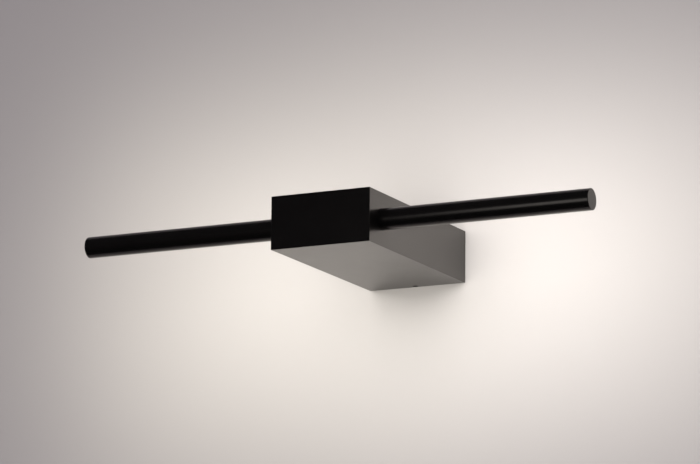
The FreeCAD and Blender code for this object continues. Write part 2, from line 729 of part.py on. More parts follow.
def terminal_block():
    """A three-pole block on the tray, with a bore for each barrel and a well over each screw."""
    body = new_body("terminal_block")
    foot = new_sketch(body, "XY", TRAY_TOP)
    rectangle(foot, "-block_width / 2", "-block_front", "block_width / 2", "-block_rear")
    block = pad(body, foot, "block_height")
    top = value(f"{TRAY_TOP} + block_height")
    soften(body, block, "Chamfer", "moulded_edge", lambda edge: edge.ZMin > top - NEAR)
    bores = new_sketch(body, "XZ", "(block_front + block_rear) / 2")
    for pole in pole_places():
        circle(bores, pole, POLE, "barrel_outside / 2")
    cut_through(body, bores, "2 * block_width")
    wells = new_sketch(body, "XY", f"{POLE} + block_height")
    for pole in pole_places():
        for row in clamp_rows():
            circle(wells, pole, row, "block_screw / 2 + 2 * screw_play")
    cut_through(body, wells, "2 * block_height")
    recesses = new_sketch(body, "XY", f"{TRAY_TOP} + block_height")
    for x, y in block_screw_places():
        circle(recesses, x, y, "block_recess / 2")
    cut_through(body, recesses, "2 * block_recess_depth")
    fixings = new_sketch(body, "XY", TRAY_TOP)
    for x, y in block_screw_places():
        circle(fixings, x, y, "block_screw / 2")
    cut_through(body, fixings, "3 * block_height")
    return body


def block_screws():
    seat = f"{TRAY_TOP} + block_height - block_recess_depth"
    length = "block_height - block_recess_depth + sheet + screw_tip"
    return group("block_screws", [head_screw(x, y, seat, "block_head", "block_screw", length)
                                  for x, y in block_screw_places()])


def terminal_barrels():
    """A barrel for each pole, open at both ends, with a threaded hole for each screw."""
    start, length = "-block_front + barrel_inset", "block_front - block_rear - 2 * barrel_inset"
    return group("terminal_barrels", [
        cut(rod("Y", (pole, start, POLE), "barrel_outside / 2", length),
            rod("Y", (pole, start, POLE), "barrel_bore / 2", length),
            *[rod("Z", (pole, row, POLE), "block_screw / 2", "barrel_outside") for row in clamp_rows()])
        for pole in pole_places()])


def terminal_screws():
    """Clamp screws, their tips on the leads."""
    tip = f"{POLE} + mains_lead / 2"
    end = f"{tip} + clamp_screw_length"
    pieces = []
    for pole in pole_places():
        for row in clamp_rows():
            shank = rod("Z", (pole, row, tip), "block_screw / 2", "clamp_screw_length")
            left, right = f"{pole} - screwdriver_slot / 2", f"{pole} + screwdriver_slot / 2"
            groove = box((left, f"{row} - block_screw", f"{end} - screwdriver_depth"),
                         (right, f"{row} + block_screw", end))
            pieces.append(cut(shank, groove))
    return group("terminal_screws", pieces)


def earth_lug():
    """A ring on the tray under the earth screw, with a crimp barrel for the lead."""
    x, y = EARTH_POINT
    ring = cut(rod("Z", (x, y, TRAY_TOP), "lug_ring / 2", "lug_sheet"),
               rod("Z", (x, y, TRAY_TOP), "earth_thread / 2", "lug_sheet"))
    neck = box((f"{x} - lug_neck / 2", y - LUG_BARREL_START, TRAY_TOP),
               (f"{x} + lug_neck / 2", f"{y} - lug_neck", f"{TRAY_TOP} + lug_sheet"))
    start = (x, y - LUG_BARREL_START - LUG_BARREL_LENGTH, LUG_HEIGHT)
    barrel = cut(rod("Y", start, "mains_lead / 2 + lug_wall", LUG_BARREL_LENGTH),
                 rod("Y", start, "mains_lead / 2", LUG_BARREL_LENGTH))
    return labelled(fuse(ring, neck, barrel), "earth_lug")


def earth_screw():
    x, y = EARTH_POINT
    screw = head_screw(x, y, f"{TRAY_TOP} + lug_sheet", "earth_head", "earth_thread",
                       "lug_sheet + sheet + screw_tip")
    return labelled(screw, "earth_screw")


# ---- The leads ----

def rounded_path(corners, bend):
    """A wire of straight runs joined by tangent arcs of one radius."""
    edges, start = [], corners[0]
    for corner, after in zip(corners[1:], corners[2:]):
        arriving, leaving = (corner - start).normalize(), (after - corner).normalize()
        turn = arriving.getAngle(leaving)
        setback = bend * math.tan(turn / 2)
        first, last = corner - arriving * setback, corner + leaving * setback
        middle = corner + (leaving - arriving).normalize() * bend * (1 / math.cos(turn / 2) - 1)
        edges += [Part.LineSegment(start, first).toShape(), Part.Arc(first, middle, last).toShape()]
        start = last
    edges.append(Part.LineSegment(start, corners[-1]).toShape())
    return Part.Wire(edges)


def lead(label, routes, diameter, bend):
    """Round leads along their routes, each a separate solid."""
    radius = value(diameter) / 2
    tubes = []
    for route in routes:
        corners = [Vec(*(value(size) for size in corner)) for corner in route]
        path = rounded_path(corners, bend)
        section = Part.Wire(Part.Circle(corners[0], corners[1] - corners[0], radius).toShape())
        tube = path.makePipeShell([section], True, False)
        spread = tube.Volume / (path.Length * math.pi * radius ** 2)
        print(f"{label}: bend {bend}, length {path.Length:.1f}, volume over section {spread:.4f}")
        tubes.append(tube)
    feature = doc.addObject("Part::Feature", label)
    feature.Shape = tubes[0] if len(tubes) == 1 else Part.Compound(tubes)
    return labelled(feature, label)


def mains_route(sign):
    """From a terminal pole, over the earth lead and down into the driver."""
    pole = f"{sign} * pole_pitch"
    clamp_x, clamp_z = sign * MAINS_CLAMP[0], MAINS_CLAMP[1]
    clamp_face = "-driver_rear - driver_end + driver_clamp_depth"
    return [(pole, "-block_front + lead_grip", POLE), (pole, "-block_front - 2.5", POLE),
            (sign * 8.2, "-block_front - 9", -6), (clamp_x, "-driver_rear + 4", clamp_z),
            (clamp_x, clamp_face, clamp_z)]


def live_lead():
    return lead("live_lead", [mains_route(-1)], "mains_lead", MAINS_BEND)


def neutral_lead():
    return lead("neutral_lead", [mains_route(1)], "mains_lead", MAINS_BEND)


def earth_lead():
    """From the middle pole, behind the driver and round into the earth lug's crimp barrel."""
    x, y = EARTH_POINT
    route = [(0, "-block_front + lead_grip", POLE), (0, -51, POLE), (-17, -55, POLE),
             (x, -57.5, LUG_HEIGHT), (x, y - LUG_BARREL_START, LUG_HEIGHT)]
    return lead("earth_lead", [route], "mains_lead", EARTH_BEND)


def light_route(sign, pad_z, run_y, run_x, clamp):
    """From a strip's inner end, out of the tube's mouth, round a slack loop and into the driver."""
    pad_x = f"{sign} * (strip_start + pad_inset)"
    strip_face = "-tube_reach + web_front + strip_thickness"
    clamp_x, clamp_z = clamp
    return [(pad_x, strip_face, pad_z), (pad_x, run_y, pad_z),
            (sign * run_x, run_y, pad_z), (sign * run_x, run_y, clamp_z),
            (sign * clamp_x, run_y, clamp_z),
            (sign * clamp_x, "-driver_front + driver_end - driver_clamp_depth", clamp_z)]


def light_leads():
    """Two leads to each strip, slack enough for the tube's turn."""
    routes = [light_route(sign, *loop, clamp)
              for sign in (-1, 1) for loop, clamp in zip(LIGHT_LOOPS, LIGHT_CLAMPS)]
    return lead("light_leads", routes, "light_lead", LIGHT_BEND)


# ---- The light tube, about its own axis ----

INNER_TUBE = "tube_diameter / 2 - tube_wall"


def tube_profile():
    """An extruded tube with a web for the strips and a mouth along its back."""
    body = new_body("tube_profile")
    length = "tube_length - 2 * cap_thickness"
    rim = new_sketch(body, "YZ")
    circle(rim, "0", "0", "tube_diameter / 2")
    pad(body, rim, length, both_ways=True)
    for chord, towards in (("web_front", 1), ("-web_back", -1)):
        channel = new_sketch(body, "YZ")
        circle_segment(channel, INNER_TUBE, chord, towards)
        cut_through(body, channel, "tube_length")
    mouth = new_sketch(body, "YZ")
    rectangle(mouth, "tube_diameter / 4", "-mouth_width / 2", "tube_diameter", "mouth_width / 2")
    cut_through(body, mouth, "tube_length")
    place(body, y="-tube_reach")
    return body


def mirrored_span(sign, start, end):
    """The lower and upper X of a stretch from start to end on one side of the middle."""
    return (start, end) if sign > 0 else (f"-({end})", f"-({start})")


def diffuser(label, sign):
    """An opal cover in the mouth, snapped behind its edges on two feet."""
    left, right = mirrored_span(sign, "box_width / 2 + lens_gap", "tube_length / 2 - cap_thickness")
    span = f"({right}) - ({left})"
    face = "tube_diameter / 2 - lens_play"
    foot_inside = f"{INNER_TUBE} - lens_foot"
    mouth_half = "mouth_width / 2 - lens_play"

    def shell(outer, inner, half):
        ring = cut(rod("X", (left, "0", "0"), outer, span), rod("X", (left, "0", "0"), inner, span))
        return common(ring, box((left, "0", f"-({half})"), (right, "tube_diameter", half)))

    lens = fuse(shell(face, INNER_TUBE, mouth_half), shell(INNER_TUBE, foot_inside, "lens_foot_width / 2"))
    place(lens, y="-tube_reach")
    return labelled(lens, label)


def led_strip(label, sign):
    left, right = mirrored_span(sign, "strip_start", "tube_length / 2 - cap_thickness - strip_end_gap")
    strip = box((left, "web_front - tube_reach", "-strip_width / 2"),
                (right, "web_front + strip_thickness - tube_reach", "strip_width / 2"))
    return labelled(strip, label)


def led_chips(label, sign):
    """Light chips along one strip, at an even pitch."""
    foot = "web_front + strip_thickness - tube_reach"
    room = value("tube_length / 2 - cap_thickness - chip_end_gap - chip_start")
    chips = []
    for number in range(int(room / value("chip_pitch")) + 1):
        middle = f"{sign} * (chip_start + {number} * chip_pitch)"
        chips.append(box((f"{middle} - chip_length / 2", foot, "-chip_width / 2"),
                         (f"{middle} + chip_length / 2", f"{foot} + chip_height", "chip_width / 2")))
    return group(label, chips)


def end_cap(label, turn):
    """A flat disc, flush with the tube, on a plug that fits the closed channel."""
    body = new_body(label)
    disc = new_sketch(body, "YZ", "tube_length / 2 - cap_thickness")
    circle(disc, "0", "0", "tube_diameter / 2")
    face = pad(body, disc, "cap_thickness")
    outer = value("tube_length / 2")
    soften(body, face, "Chamfer", "cap_chamfer", lambda edge: edge.XMin > outer - NEAR)
    plug = new_sketch(body, "YZ", "tube_length / 2 - cap_thickness - cap_plug_length")
    chord_side = 1 if turn else -1
    circle_segment(plug, f"{INNER_TUBE} - cap_plug_play", f"{chord_side} * (web_back + cap_plug_play)",
                   chord_side)
    pad(body, plug, "cap_plug_length")
    body.Placement.Rotation = FreeCAD.Rotation(Vec(0, 0, 1), turn)
    place(body, y="-tube_reach")
    return body


def collar_ring(body, start):
    """The plain ring of a retaining collar, from its left end."""
    ring = new_sketch(body, "YZ", start)
    circle(ring, "0", "0", "collar_diameter / 2")
    circle(ring, "0", "0", "tube_diameter / 2")
    pad(body, ring, "collar_length")


def collar_screw_hole(body, middle):
    """A threaded hole through the collar's top wall, down to its bore."""
    hole = new_sketch(body, "XY", "collar_diameter / 2")
    circle(hole, middle, "0", "stud / 2")
    cut_through(body, hole, "collar_diameter - tube_diameter / 2")


SPRING_COLLAR_MIDDLE = "tray_width / 2 - bush_length - spring_height - collar_gap - collar_length / 2"
STOP_COLLAR_MIDDLE = "-(tray_width / 2 - bush_length - collar_gap - (collar_length + stop_thickness) / 2)"


def spring_collar():
    """The right collar, which bears on the disc spring."""
    body = new_body("spring_collar")
    collar_ring(body, f"{SPRING_COLLAR_MIDDLE} - collar_length / 2")
    collar_screw_hole(body, SPRING_COLLAR_MIDDLE)
    place(body, y="-tube_reach")
    return body


def stop_collar():
    """The left collar, with a part flange whose ends meet the stop peg."""
    body = new_body("stop_collar")
    outer_end = "-(tray_width / 2 - bush_length - collar_gap)"
    flange = new_sketch(body, "YZ", outer_end)
    half_peg = math.degrees(math.asin(value("peg_diameter") / 2 / value("peg_orbit")))
    sector(flange, "stop_flange / 2", f"turn_each_way + {half_peg:.3f}")
    pad(body, flange, "stop_thickness")
    collar_ring(body, outer_end)
    bore = new_sketch(body, "YZ", outer_end)
    circle(bore, "0", "0", "tube_diameter / 2")
    cut_through(body, bore, "3 * collar_length")
    collar_screw_hole(body, STOP_COLLAR_MIDDLE)
    place(body, y="-tube_reach")
    return body


def collar_screws():
    """A socket screw in each collar, its tip on the tube."""
    return group("collar_screws", [
        socket_screw(middle, "-tube_reach", "tube_diameter / 2", "collar_diameter / 2 - collar_gap",
                     "stud / 2", "stud / 2") for middle in (SPRING_COLLAR_MIDDLE, STOP_COLLAR_MIDDLE)])


def build_parts():
    parts = [wall_bracket(), cable_grommet(), fixing_screws(), housing_sleeve(), front_cap(),
             weld_studs(), stud_spacers(), tray_nuts(), chassis_tray(),
             bush("bush_right", 0), bush("bush_left", 180), disc_spring(), stop_peg(),
             led_driver(), driver_covers(), driver_screws(), terminal_block(), block_screws(),
             terminal_barrels(), terminal_screws(), earth_lug(), earth_screw(),
             live_lead(), neutral_lead(), earth_lead(), light_leads(), tube_profile(),
             spring_collar(), stop_collar(), collar_screws()]
    for side, sign, turn in (("right", 1, 0), ("left", -1, 180)):
        parts += [diffuser(f"diffuser_{side}", sign), led_strip(f"led_strip_{side}", sign),
                  led_chips(f"leds_{side}", sign), end_cap(f"end_cap_{side}", turn)]
    doc.recompute()
    return parts


def check(parts):
    """Stop on any failed object, before anything is written."""
    for item in doc.Objects:
        if "Invalid" in item.State or "Error" in item.State:
            raise RuntimeError(f"{item.Label}: {item.State}")
    for part in parts:
        shape = part.Shape
        if shape.isNull() or not shape.isValid() or not shape.Solids:
            raise RuntimeError(f"{part.Label}: no valid solid")
        print(f"{part.Label}: {len(shape.Solids)} solids, {shape.Volume:.0f} cubic millimetres")


def export(parts):
    os.makedirs("parts", exist_ok=True)
    for part in parts:
        part.Shape.exportStep(f"parts/{part.Label}.step")


fill_sheet()
built = build_parts()
check(built)
export(built)
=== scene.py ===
import math

import bpy
from mathutils import Euler, Matrix, Vector


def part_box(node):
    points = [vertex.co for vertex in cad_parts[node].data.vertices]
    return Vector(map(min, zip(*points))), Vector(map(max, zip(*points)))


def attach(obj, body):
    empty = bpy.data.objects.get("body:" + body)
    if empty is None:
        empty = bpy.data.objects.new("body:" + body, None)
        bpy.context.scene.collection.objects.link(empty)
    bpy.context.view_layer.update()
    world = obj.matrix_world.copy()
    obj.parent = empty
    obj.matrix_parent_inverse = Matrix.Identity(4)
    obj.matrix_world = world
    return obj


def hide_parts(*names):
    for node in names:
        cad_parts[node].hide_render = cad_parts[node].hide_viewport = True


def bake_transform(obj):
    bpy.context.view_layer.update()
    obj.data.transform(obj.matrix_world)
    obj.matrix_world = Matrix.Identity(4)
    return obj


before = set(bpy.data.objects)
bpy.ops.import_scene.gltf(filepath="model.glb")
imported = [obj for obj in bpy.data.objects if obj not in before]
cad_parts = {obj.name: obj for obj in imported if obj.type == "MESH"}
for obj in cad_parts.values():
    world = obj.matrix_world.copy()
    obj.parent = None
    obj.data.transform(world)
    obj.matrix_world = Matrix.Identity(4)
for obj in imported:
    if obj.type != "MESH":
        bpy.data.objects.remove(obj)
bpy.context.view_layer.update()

bl_info = {
    "name": "Tube wall light",
    "version": (1, 0, 0),
    "blender": (4, 5, 0),
    "location": "3D View > Sidebar > Tube light",
    "description": "Finishes a tube wall light and sets it on a softly lit wall",
    "category": "Object",
}

MM = 0.001
# The two arms of the tube, with the sign of their side.
ARMS = {"right": 1, "left": -1}

# The camera: where it stands and how far it sees (metres), how it is turned (degrees), and its lens
# and sensor (millimetres).
CAMERA_PLACE, CAMERA_REACH = (1.600, -3.378, -0.782), 100.0
CAMERA_YAW, CAMERA_PITCH, CAMERA_ROLL = 26.34, 12.23, 0.51
CAMERA_LENS, CAMERA_SENSOR = 206.18, 36.0

# The light chips of one arm: size of a chip, distance of the first from the middle, and their row.
CHIP_SIZE = (3.5 * MM, 0.8 * MM, 2.8 * MM)
CHIP_START, CHIP_PITCH, CHIP_COUNT = 57 * MM, 8.3 * MM, 24

# A face points along an axis when its normal has more than this share of it, and two places are the
# same when they are closer than this.
FACING, SAME_PLACE = 0.9, 1e-6


# ---- Sizes and colours that a user would change ----

def colour_choice(name, description, default):
    return bpy.props.FloatVectorProperty(name=name, description=description, subtype="COLOR",
                                         size=3, min=0.0, max=1.0, default=default)


def length_choice(name, description, default):
    return bpy.props.FloatProperty(name=name, description=description, default=default,
                                   min=0.0, unit="LENGTH")


def factor_choice(name, description, default):
    return bpy.props.FloatProperty(name=name, description=description, default=default,
                                   min=0.0, max=1.0, subtype="FACTOR")


def watt_choice(name, description, default):
    return bpy.props.FloatProperty(name=name, description=description, default=default, min=0.0)


class TubeLightFinishes(bpy.types.PropertyGroup):
    coat: colour_choice("Powder coat", "Colour of the housing, tube and end caps",
                        (0.0030, 0.0030, 0.0031))
    coat_roughness: factor_choice("Coat roughness", "0 is a mirror, 1 is dull", 0.24)
    galvanised: colour_choice("Galvanised sheet", "Bracket and tray", (0.56, 0.58, 0.59))
    zinc: colour_choice("Bright zinc", "Screws, nuts, studs and stop peg", (0.68, 0.70, 0.72))
    black_oxide: colour_choice("Black oxide", "Socket screws", (0.018, 0.018, 0.020))
    spring: colour_choice("Spring steel", "Disc spring", (0.50, 0.50, 0.51))
    aluminium: colour_choice("Turned aluminium", "Collars", (0.76, 0.77, 0.78))
    nylon: colour_choice("Natural nylon", "Stud spacers", (0.78, 0.75, 0.66))
    black_nylon: colour_choice("Black nylon", "Tube bushes", (0.016, 0.016, 0.017))
    rubber: colour_choice("Rubber", "Cable grommet", (0.014, 0.014, 0.014))
    driver: colour_choice("Driver case", "Driver and its end covers", (0.74, 0.74, 0.72))
    terminal: colour_choice("Terminal block", "Polyamide body", (0.80, 0.80, 0.77))
    brass: colour_choice("Brass", "Terminal barrels", (0.72, 0.52, 0.22))
    tin: colour_choice("Tinned copper", "Earth lug and solder", (0.66, 0.65, 0.63))
    brown: colour_choice("Live lead", "Insulation", (0.105, 0.035, 0.014))
    blue: colour_choice("Neutral lead", "Insulation", (0.010, 0.060, 0.330))
    green: colour_choice("Earth lead, first colour", "Insulation", (0.030, 0.240, 0.030))
    yellow: colour_choice("Earth lead, second colour", "Insulation", (0.780, 0.600, 0.030))
    red: colour_choice("Positive light lead", "Silicone insulation", (0.420, 0.018, 0.012))
    black: colour_choice("Negative light lead", "Silicone insulation", (0.014, 0.014, 0.014))
    opal: colour_choice("Opal cover", "Diffuser plastic", (0.52, 0.51, 0.48))
    light: colour_choice("Light", "Colour of the light that the tube gives", (1.0, 0.90, 0.80))
    mask: colour_choice("Circuit strip", "White solder mask", (0.78, 0.78, 0.76))
    phosphor: colour_choice("Phosphor", "Window of a light chip", (0.86, 0.60, 0.08))
    resistor: colour_choice("Resistor", "Body of a resistor on a strip", (0.012, 0.012, 0.013))


class TubeLightSizes(bpy.types.PropertyGroup):
    light_lead: length_choice("Light lead", "Outside diameter of a light lead", 1.2 * MM)
    chip_frame: length_choice("Chip frame", "Width of the frame round the phosphor", 0.45 * MM)
    chip_recess: length_choice("Chip recess", "Depth of the phosphor below the frame", 0.25 * MM)
    solder_height: length_choice("Solder height", "Height of a solder joint", 0.7 * MM)
    solder_width: length_choice("Solder width", "Width of a solder joint at its foot", 2.2 * MM)


class TubeLightStage(bpy.types.PropertyGroup):
    wall: colour_choice("Wall", "Paint of the wall behind the light", (0.500, 0.488, 0.480))
    floor: colour_choice("Floor", "Colour that the floor gives to the room", (0.56, 0.55, 0.54))
    floor_seen: colour_choice("Floor as seen", "Colour of the floor itself", (0.90, 0.89, 0.88))
    room: colour_choice("Room", "Light from all around", (0.690, 0.640, 0.685))
    backdrop: colour_choice("Backdrop", "Colour past the wall and the floor", (0.62, 0.61, 0.60))
    floor_depth: length_choice("Floor depth", "Height of the light above the floor", 1.3)
    glow: watt_choice("Glow", "Narrow light of the tube's right half, in watts", 0.20)
    wash: watt_choice("Wash", "Wide light of the tube's right half, in watts", 0.24)
    halo: watt_choice("Halo", "Soft light beside the right half that stays when it turns", 0.39)


def finishes():
    return bpy.context.scene.tube_light_finishes


def sizes():
    return bpy.context.scene.tube_light_sizes


def stage_choices():
    return bpy.context.scene.tube_light_stage


# ---- Materials ----

# Marks on the surfaces: how wide or far apart they are, and how deep their bumps.
ORANGE_PEEL = (2.2 * MM, 0.010 * MM)
COAT_GRAIN = (0.35 * MM, 0.004 * MM)
ROLLING_MARKS = (0.5 * MM, 0.006 * MM)
ZINC_RIPPLE = (1.6 * MM, 0.010 * MM)
SCREW_RINGS = (0.25 * MM, 0.004 * MM)
SCREW_THREAD = (0.7 * MM, 0.020 * MM)
LATHE_RINGS = (0.18 * MM, 0.004 * MM)
BORING_RINGS = (0.20 * MM, 0.004 * MM)
DRAWN_MARKS = (0.3 * MM, 0.003 * MM)
DRAWN_GRAIN = (0.4 * MM, 0.006 * MM)
SMOOTH_MOULD = (0.8 * MM, 0.006 * MM)
FRAME_GRAIN = (0.3 * MM, 0.002 * MM)
RESISTOR_GRAIN = (0.3 * MM, 0.003 * MM)
RUBBER_GRAIN = (0.5 * MM, 0.010 * MM)
CASE_GRAIN = (0.6 * MM, 0.018 * MM)
TERMINAL_GRAIN = (1.0 * MM, 0.006 * MM)
COVER_GRAIN = (0.5 * MM, 0.004 * MM)
MASK_GRAIN = (0.7 * MM, 0.003 * MM)
ROLLER_MARKS = (3 * MM, 0.020 * MM)
# Widths of soft patches.
COAT_CLOUD, SPANGLE, BLOOM = 18 * MM, 7 * MM, 6 * MM
# How much the coat's gloss changes with its clouds and its grain, each way.
COAT_UNEVEN = 0.03

class Finish:
    """A procedural material, or the world, with its shader and the nodes that feed it."""

    def __init__(self, name, world=False, **shader_values):
        library = bpy.data.worlds if world else bpy.data.materials
        self.made = library.new(name)
        self.made.use_nodes = True
        self.tree = self.made.node_tree
        self.tree.nodes.clear()
        self.output = self.node("ShaderNodeOutputWorld" if world else "ShaderNodeOutputMaterial")
        self.shader = self.node("ShaderNodeBackground" if world else "ShaderNodeBsdfPrincipled")
        self.join(self.shader.outputs[0], self.output.inputs["Surface"])
        self.place = self.node("ShaderNodeTexCoord").outputs["Object"]
        self.set(self.shader, **shader_values)

    def node(self, kind, **settings):
        made = self.tree.nodes.new(kind)
        for name, setting in settings.items():
            setattr(made, name, setting)
        return made

    def join(self, start, end):
        self.tree.links.new(start, end)

    @staticmethod
    def set(node, **inputs):
        for name, given in inputs.items():
            socket = node.inputs[name.replace("_", " ")]
            if socket.type == "RGBA" and len(given) == 3:
                given = (*given, 1.0)
            socket.default_value = given

    def feed(self, node, name, source):
        """Give an input a number or a socket."""
        socket = node.inputs[name] if isinstance(name, (str, int)) else name
        if isinstance(source, bpy.types.NodeSocket):
            self.join(source, socket)
        else:
            socket.default_value = source

    def math(self, operation, first, second=0.0, third=0.0):
        made = self.node("ShaderNodeMath", operation=operation)
        for index, source in enumerate((first, second, third)):
            self.feed(made, index, source)
        return made.outputs[0]

    def stretched(self, scale):
        """Object coordinates, multiplied along each axis."""
        made = self.node("ShaderNodeMapping")
        self.join(self.place, made.inputs["Vector"])
        self.set(made, Scale=scale)
        return made.outputs[0]

    def axes(self, place=None):
        """The X, Y and Z of a place, or of Object coordinates."""
        made = self.node("ShaderNodeSeparateXYZ")
        self.join(place or self.place, made.inputs[0])
        return made.outputs

    def noise(self, size, detail=3.0, place=None):
        """Noise whose features are about size metres wide, from 0 to 1."""
        made = self.node("ShaderNodeTexNoise")
        self.join(place or self.place, made.inputs["Vector"])
        self.set(made, Scale=1.0 / size, Detail=detail, Roughness=0.5)
        return made.outputs["Fac"]

    def cells(self, size):
        """Cells about size metres wide, each with a colour of its own."""
        made = self.node("ShaderNodeTexVoronoi", feature="F1")
        self.join(self.place, made.inputs["Vector"])
        self.set(made, Scale=1.0 / size)
        return made.outputs["Color"]

    def between(self, source, low, high, start=0.0, end=1.0):
        """Spread a value that runs from start to end over low to high."""
        made = self.node("ShaderNodeMapRange")
        self.join(source, made.inputs["Value"])
        self.set(made, From_Min=start, From_Max=end, To_Min=low, To_Max=high)
        return made.outputs[0]

    def mixed(self, factor, first, second):
        """A colour between two colours or sockets."""
        made = self.node("ShaderNodeMix", data_type="RGBA")
        self.feed(made, "Factor", factor)
        for socket, source in zip(("A", "B"), (first, second)):
            target = next(item for item in made.inputs
                          if item.name == socket and item.type == "RGBA")
            given = source if isinstance(source, bpy.types.NodeSocket) else (*source[:3], 1.0)
            self.feed(made, target, given)
        return next(item for item in made.outputs if item.type == "RGBA")

    def bump(self, height, depth):
        """Bumps of a depth in metres on the shader, over any that are there."""
        made = self.node("ShaderNodeBump")
        self.set(made, Strength=1.0, Distance=depth)
        self.join(height, made.inputs["Height"])
        normal = self.shader.inputs["Normal"]
        if normal.is_linked:
            self.join(normal.links[0].from_socket, made.inputs["Normal"])
        self.join(made.outputs[0], normal)

    def marks(self, size_and_depth, **noise_settings):
        """Bumps of noise with a size and a depth."""
        size, depth = size_and_depth
        self.bump(self.noise(size, **noise_settings), depth)

    def rings(self, axis, pitch, depth):
        """Bumps in rings across an axis, a pitch apart. Gives their wave, from -1 to 1."""
        wave = self.math("SINE", self.math("MULTIPLY", self.axes()[axis], 2 * math.pi / pitch))
        self.bump(wave, depth)
        return wave

    def blend(self, factor, first, second):
        """Show the first shader where the factor is 0 and the second where it is 1."""
        mixer = self.node("ShaderNodeMixShader")
        for index, source in enumerate((factor, first.outputs[0], second.outputs[0])):
            self.join(source, mixer.inputs[index])
        self.join(mixer.outputs[0], self.output.inputs["Surface"])

    def colour(self, source):
        self.feed(self.shader, "Base Color", source)

    def roughness(self, source):
        self.feed(self.shader, "Roughness", source)


def shade(colour, factor):
    """A colour made darker or lighter."""
    return tuple(min(1.0, part * factor) for part in colour[:3])


def powder_coat():
    """Smooth satin powder coat: a faint orange peel and a finer grain, a little uneven in gloss."""
    coat = Finish("black powder coat", IOR=1.65, Specular_Tint=(1.0, 0.92, 0.85))
    chosen = finishes()
    cloud = coat.noise(COAT_CLOUD, detail=4)
    grain = coat.noise(COAT_GRAIN[0], detail=2)
    coat.colour(coat.mixed(cloud, shade(chosen.coat, 0.85), shade(chosen.coat, 1.15)))
    gloss = coat.math("ADD", coat.between(cloud, -COAT_UNEVEN, COAT_UNEVEN),
                      coat.between(grain, -COAT_UNEVEN, COAT_UNEVEN))
    coat.roughness(coat.math("ADD", gloss, chosen.coat_roughness))
    coat.marks(ORANGE_PEEL, detail=1)
    coat.bump(grain, COAT_GRAIN[1])
    return coat.made


def galvanised_sheet():
    """Hot-dip galvanised sheet: crystal spangle, a soft bloom and fine rolling marks."""
    sheet = Finish("galvanised sheet", Metallic=1.0)
    chosen = finishes().galvanised
    spangle = sheet.axes(sheet.cells(SPANGLE))["X"]
    bloom = sheet.math("MULTIPLY", spangle, sheet.noise(BLOOM, detail=2))
    sheet.colour(sheet.mixed(bloom, shade(chosen, 0.78), shade(chosen, 1.12)))
    sheet.roughness(sheet.between(spangle, 0.32, 0.50))
    sheet.marks(ROLLING_MARKS, detail=2, place=sheet.stretched((1, 0.06, 0.06)))
    sheet.marks(ZINC_RIPPLE)
    return sheet.made


def bright_zinc():
    """Zinc plate: bright, faintly blue, with machining rings and small dull patches."""
    zinc = Finish("bright zinc", Metallic=1.0)
    chosen = finishes().zinc
    patch = zinc.noise(2.5 * MM, detail=4)
    zinc.colour(zinc.mixed(patch, shade(chosen, 0.82), chosen))
    zinc.roughness(zinc.between(patch, 0.38, 0.20))
    zinc.rings("Z", *SCREW_RINGS)
    return zinc.made


def black_oxide():
    """Blackened socket screws: dark, oily, with a rubbed sheen and a thread."""
    oxide = Finish("black oxide", Metallic=0.85)
    chosen = finishes().black_oxide
    rubbed = oxide.noise(1.2 * MM, detail=4)
    oxide.colour(oxide.mixed(rubbed, chosen, shade(chosen, 2.2)))
    oxide.roughness(oxide.between(rubbed, 0.50, 0.32))
    oxide.rings("Z", *SCREW_THREAD)
    return oxide.made


def turned_aluminium():
    """Aluminium with fine lathe rings across the tube's axis, duller where it was handled."""
    aluminium = Finish("turned aluminium", Metallic=1.0)
    chosen = finishes().aluminium
    rings = aluminium.rings("X", *LATHE_RINGS)
    handled = aluminium.noise(4 * MM, detail=4)
    aluminium.colour(aluminium.mixed(handled, shade(chosen, 0.86), chosen))
    dull = aluminium.between(handled, 0.22, 0.34)
    aluminium.roughness(aluminium.math("ADD", dull, aluminium.between(rings, 0.0, 0.04, -1, 1)))
    return aluminium.made


def spring_steel():
    """Tempered steel, a little darker in places, with drawn marks."""
    steel = Finish("spring steel", Metallic=1.0)
    chosen = finishes().spring
    temper = steel.noise(5 * MM, detail=3)
    steel.colour(steel.mixed(temper, chosen, shade(chosen, 0.70)))
    steel.roughness(steel.between(temper, 0.20, 0.34))
    steel.marks(DRAWN_MARKS, place=steel.stretched((3, 1, 1)))
    return steel.made


def moulded_plastic(name, colour, roughness, size_and_depth, cloudiness=0.06, **shader_values):
    """A moulded plastic: fine eroded texture, faint flow clouds."""
    grain_size, grain_depth = size_and_depth
    plastic = Finish(name, **shader_values)
    flow = plastic.noise(12 * MM, detail=2, place=plastic.stretched((1, 0.4, 1)))
    grain = plastic.noise(grain_size, detail=3)
    dark, pale = shade(colour, 1 - cloudiness), shade(colour, 1 + cloudiness)
    plastic.colour(plastic.mixed(flow, dark, pale))
    plastic.roughness(plastic.between(grain, roughness - 0.06, roughness + 0.06))
    plastic.bump(grain, grain_depth)
    return plastic.made


def natural_nylon():
    return moulded_plastic("natural nylon", finishes().nylon, 0.42, SMOOTH_MOULD,
                           Subsurface_Weight=0.25, Subsurface_Scale=1.5 * MM)


def black_nylon():
    return moulded_plastic("black nylon", finishes().black_nylon, 0.45, SMOOTH_MOULD, 0.15)


def grommet_rubber():
    return moulded_plastic("rubber", finishes().rubber, 0.72, RUBBER_GRAIN, 0.25)


def driver_plastic():
    return moulded_plastic("driver case", finishes().driver, 0.50, CASE_GRAIN, 0.02)


def terminal_plastic():
    return moulded_plastic("polyamide", finishes().terminal, 0.38, TERMINAL_GRAIN, 0.03,
                           Subsurface_Weight=0.15, Subsurface_Scale=1.0 * MM)


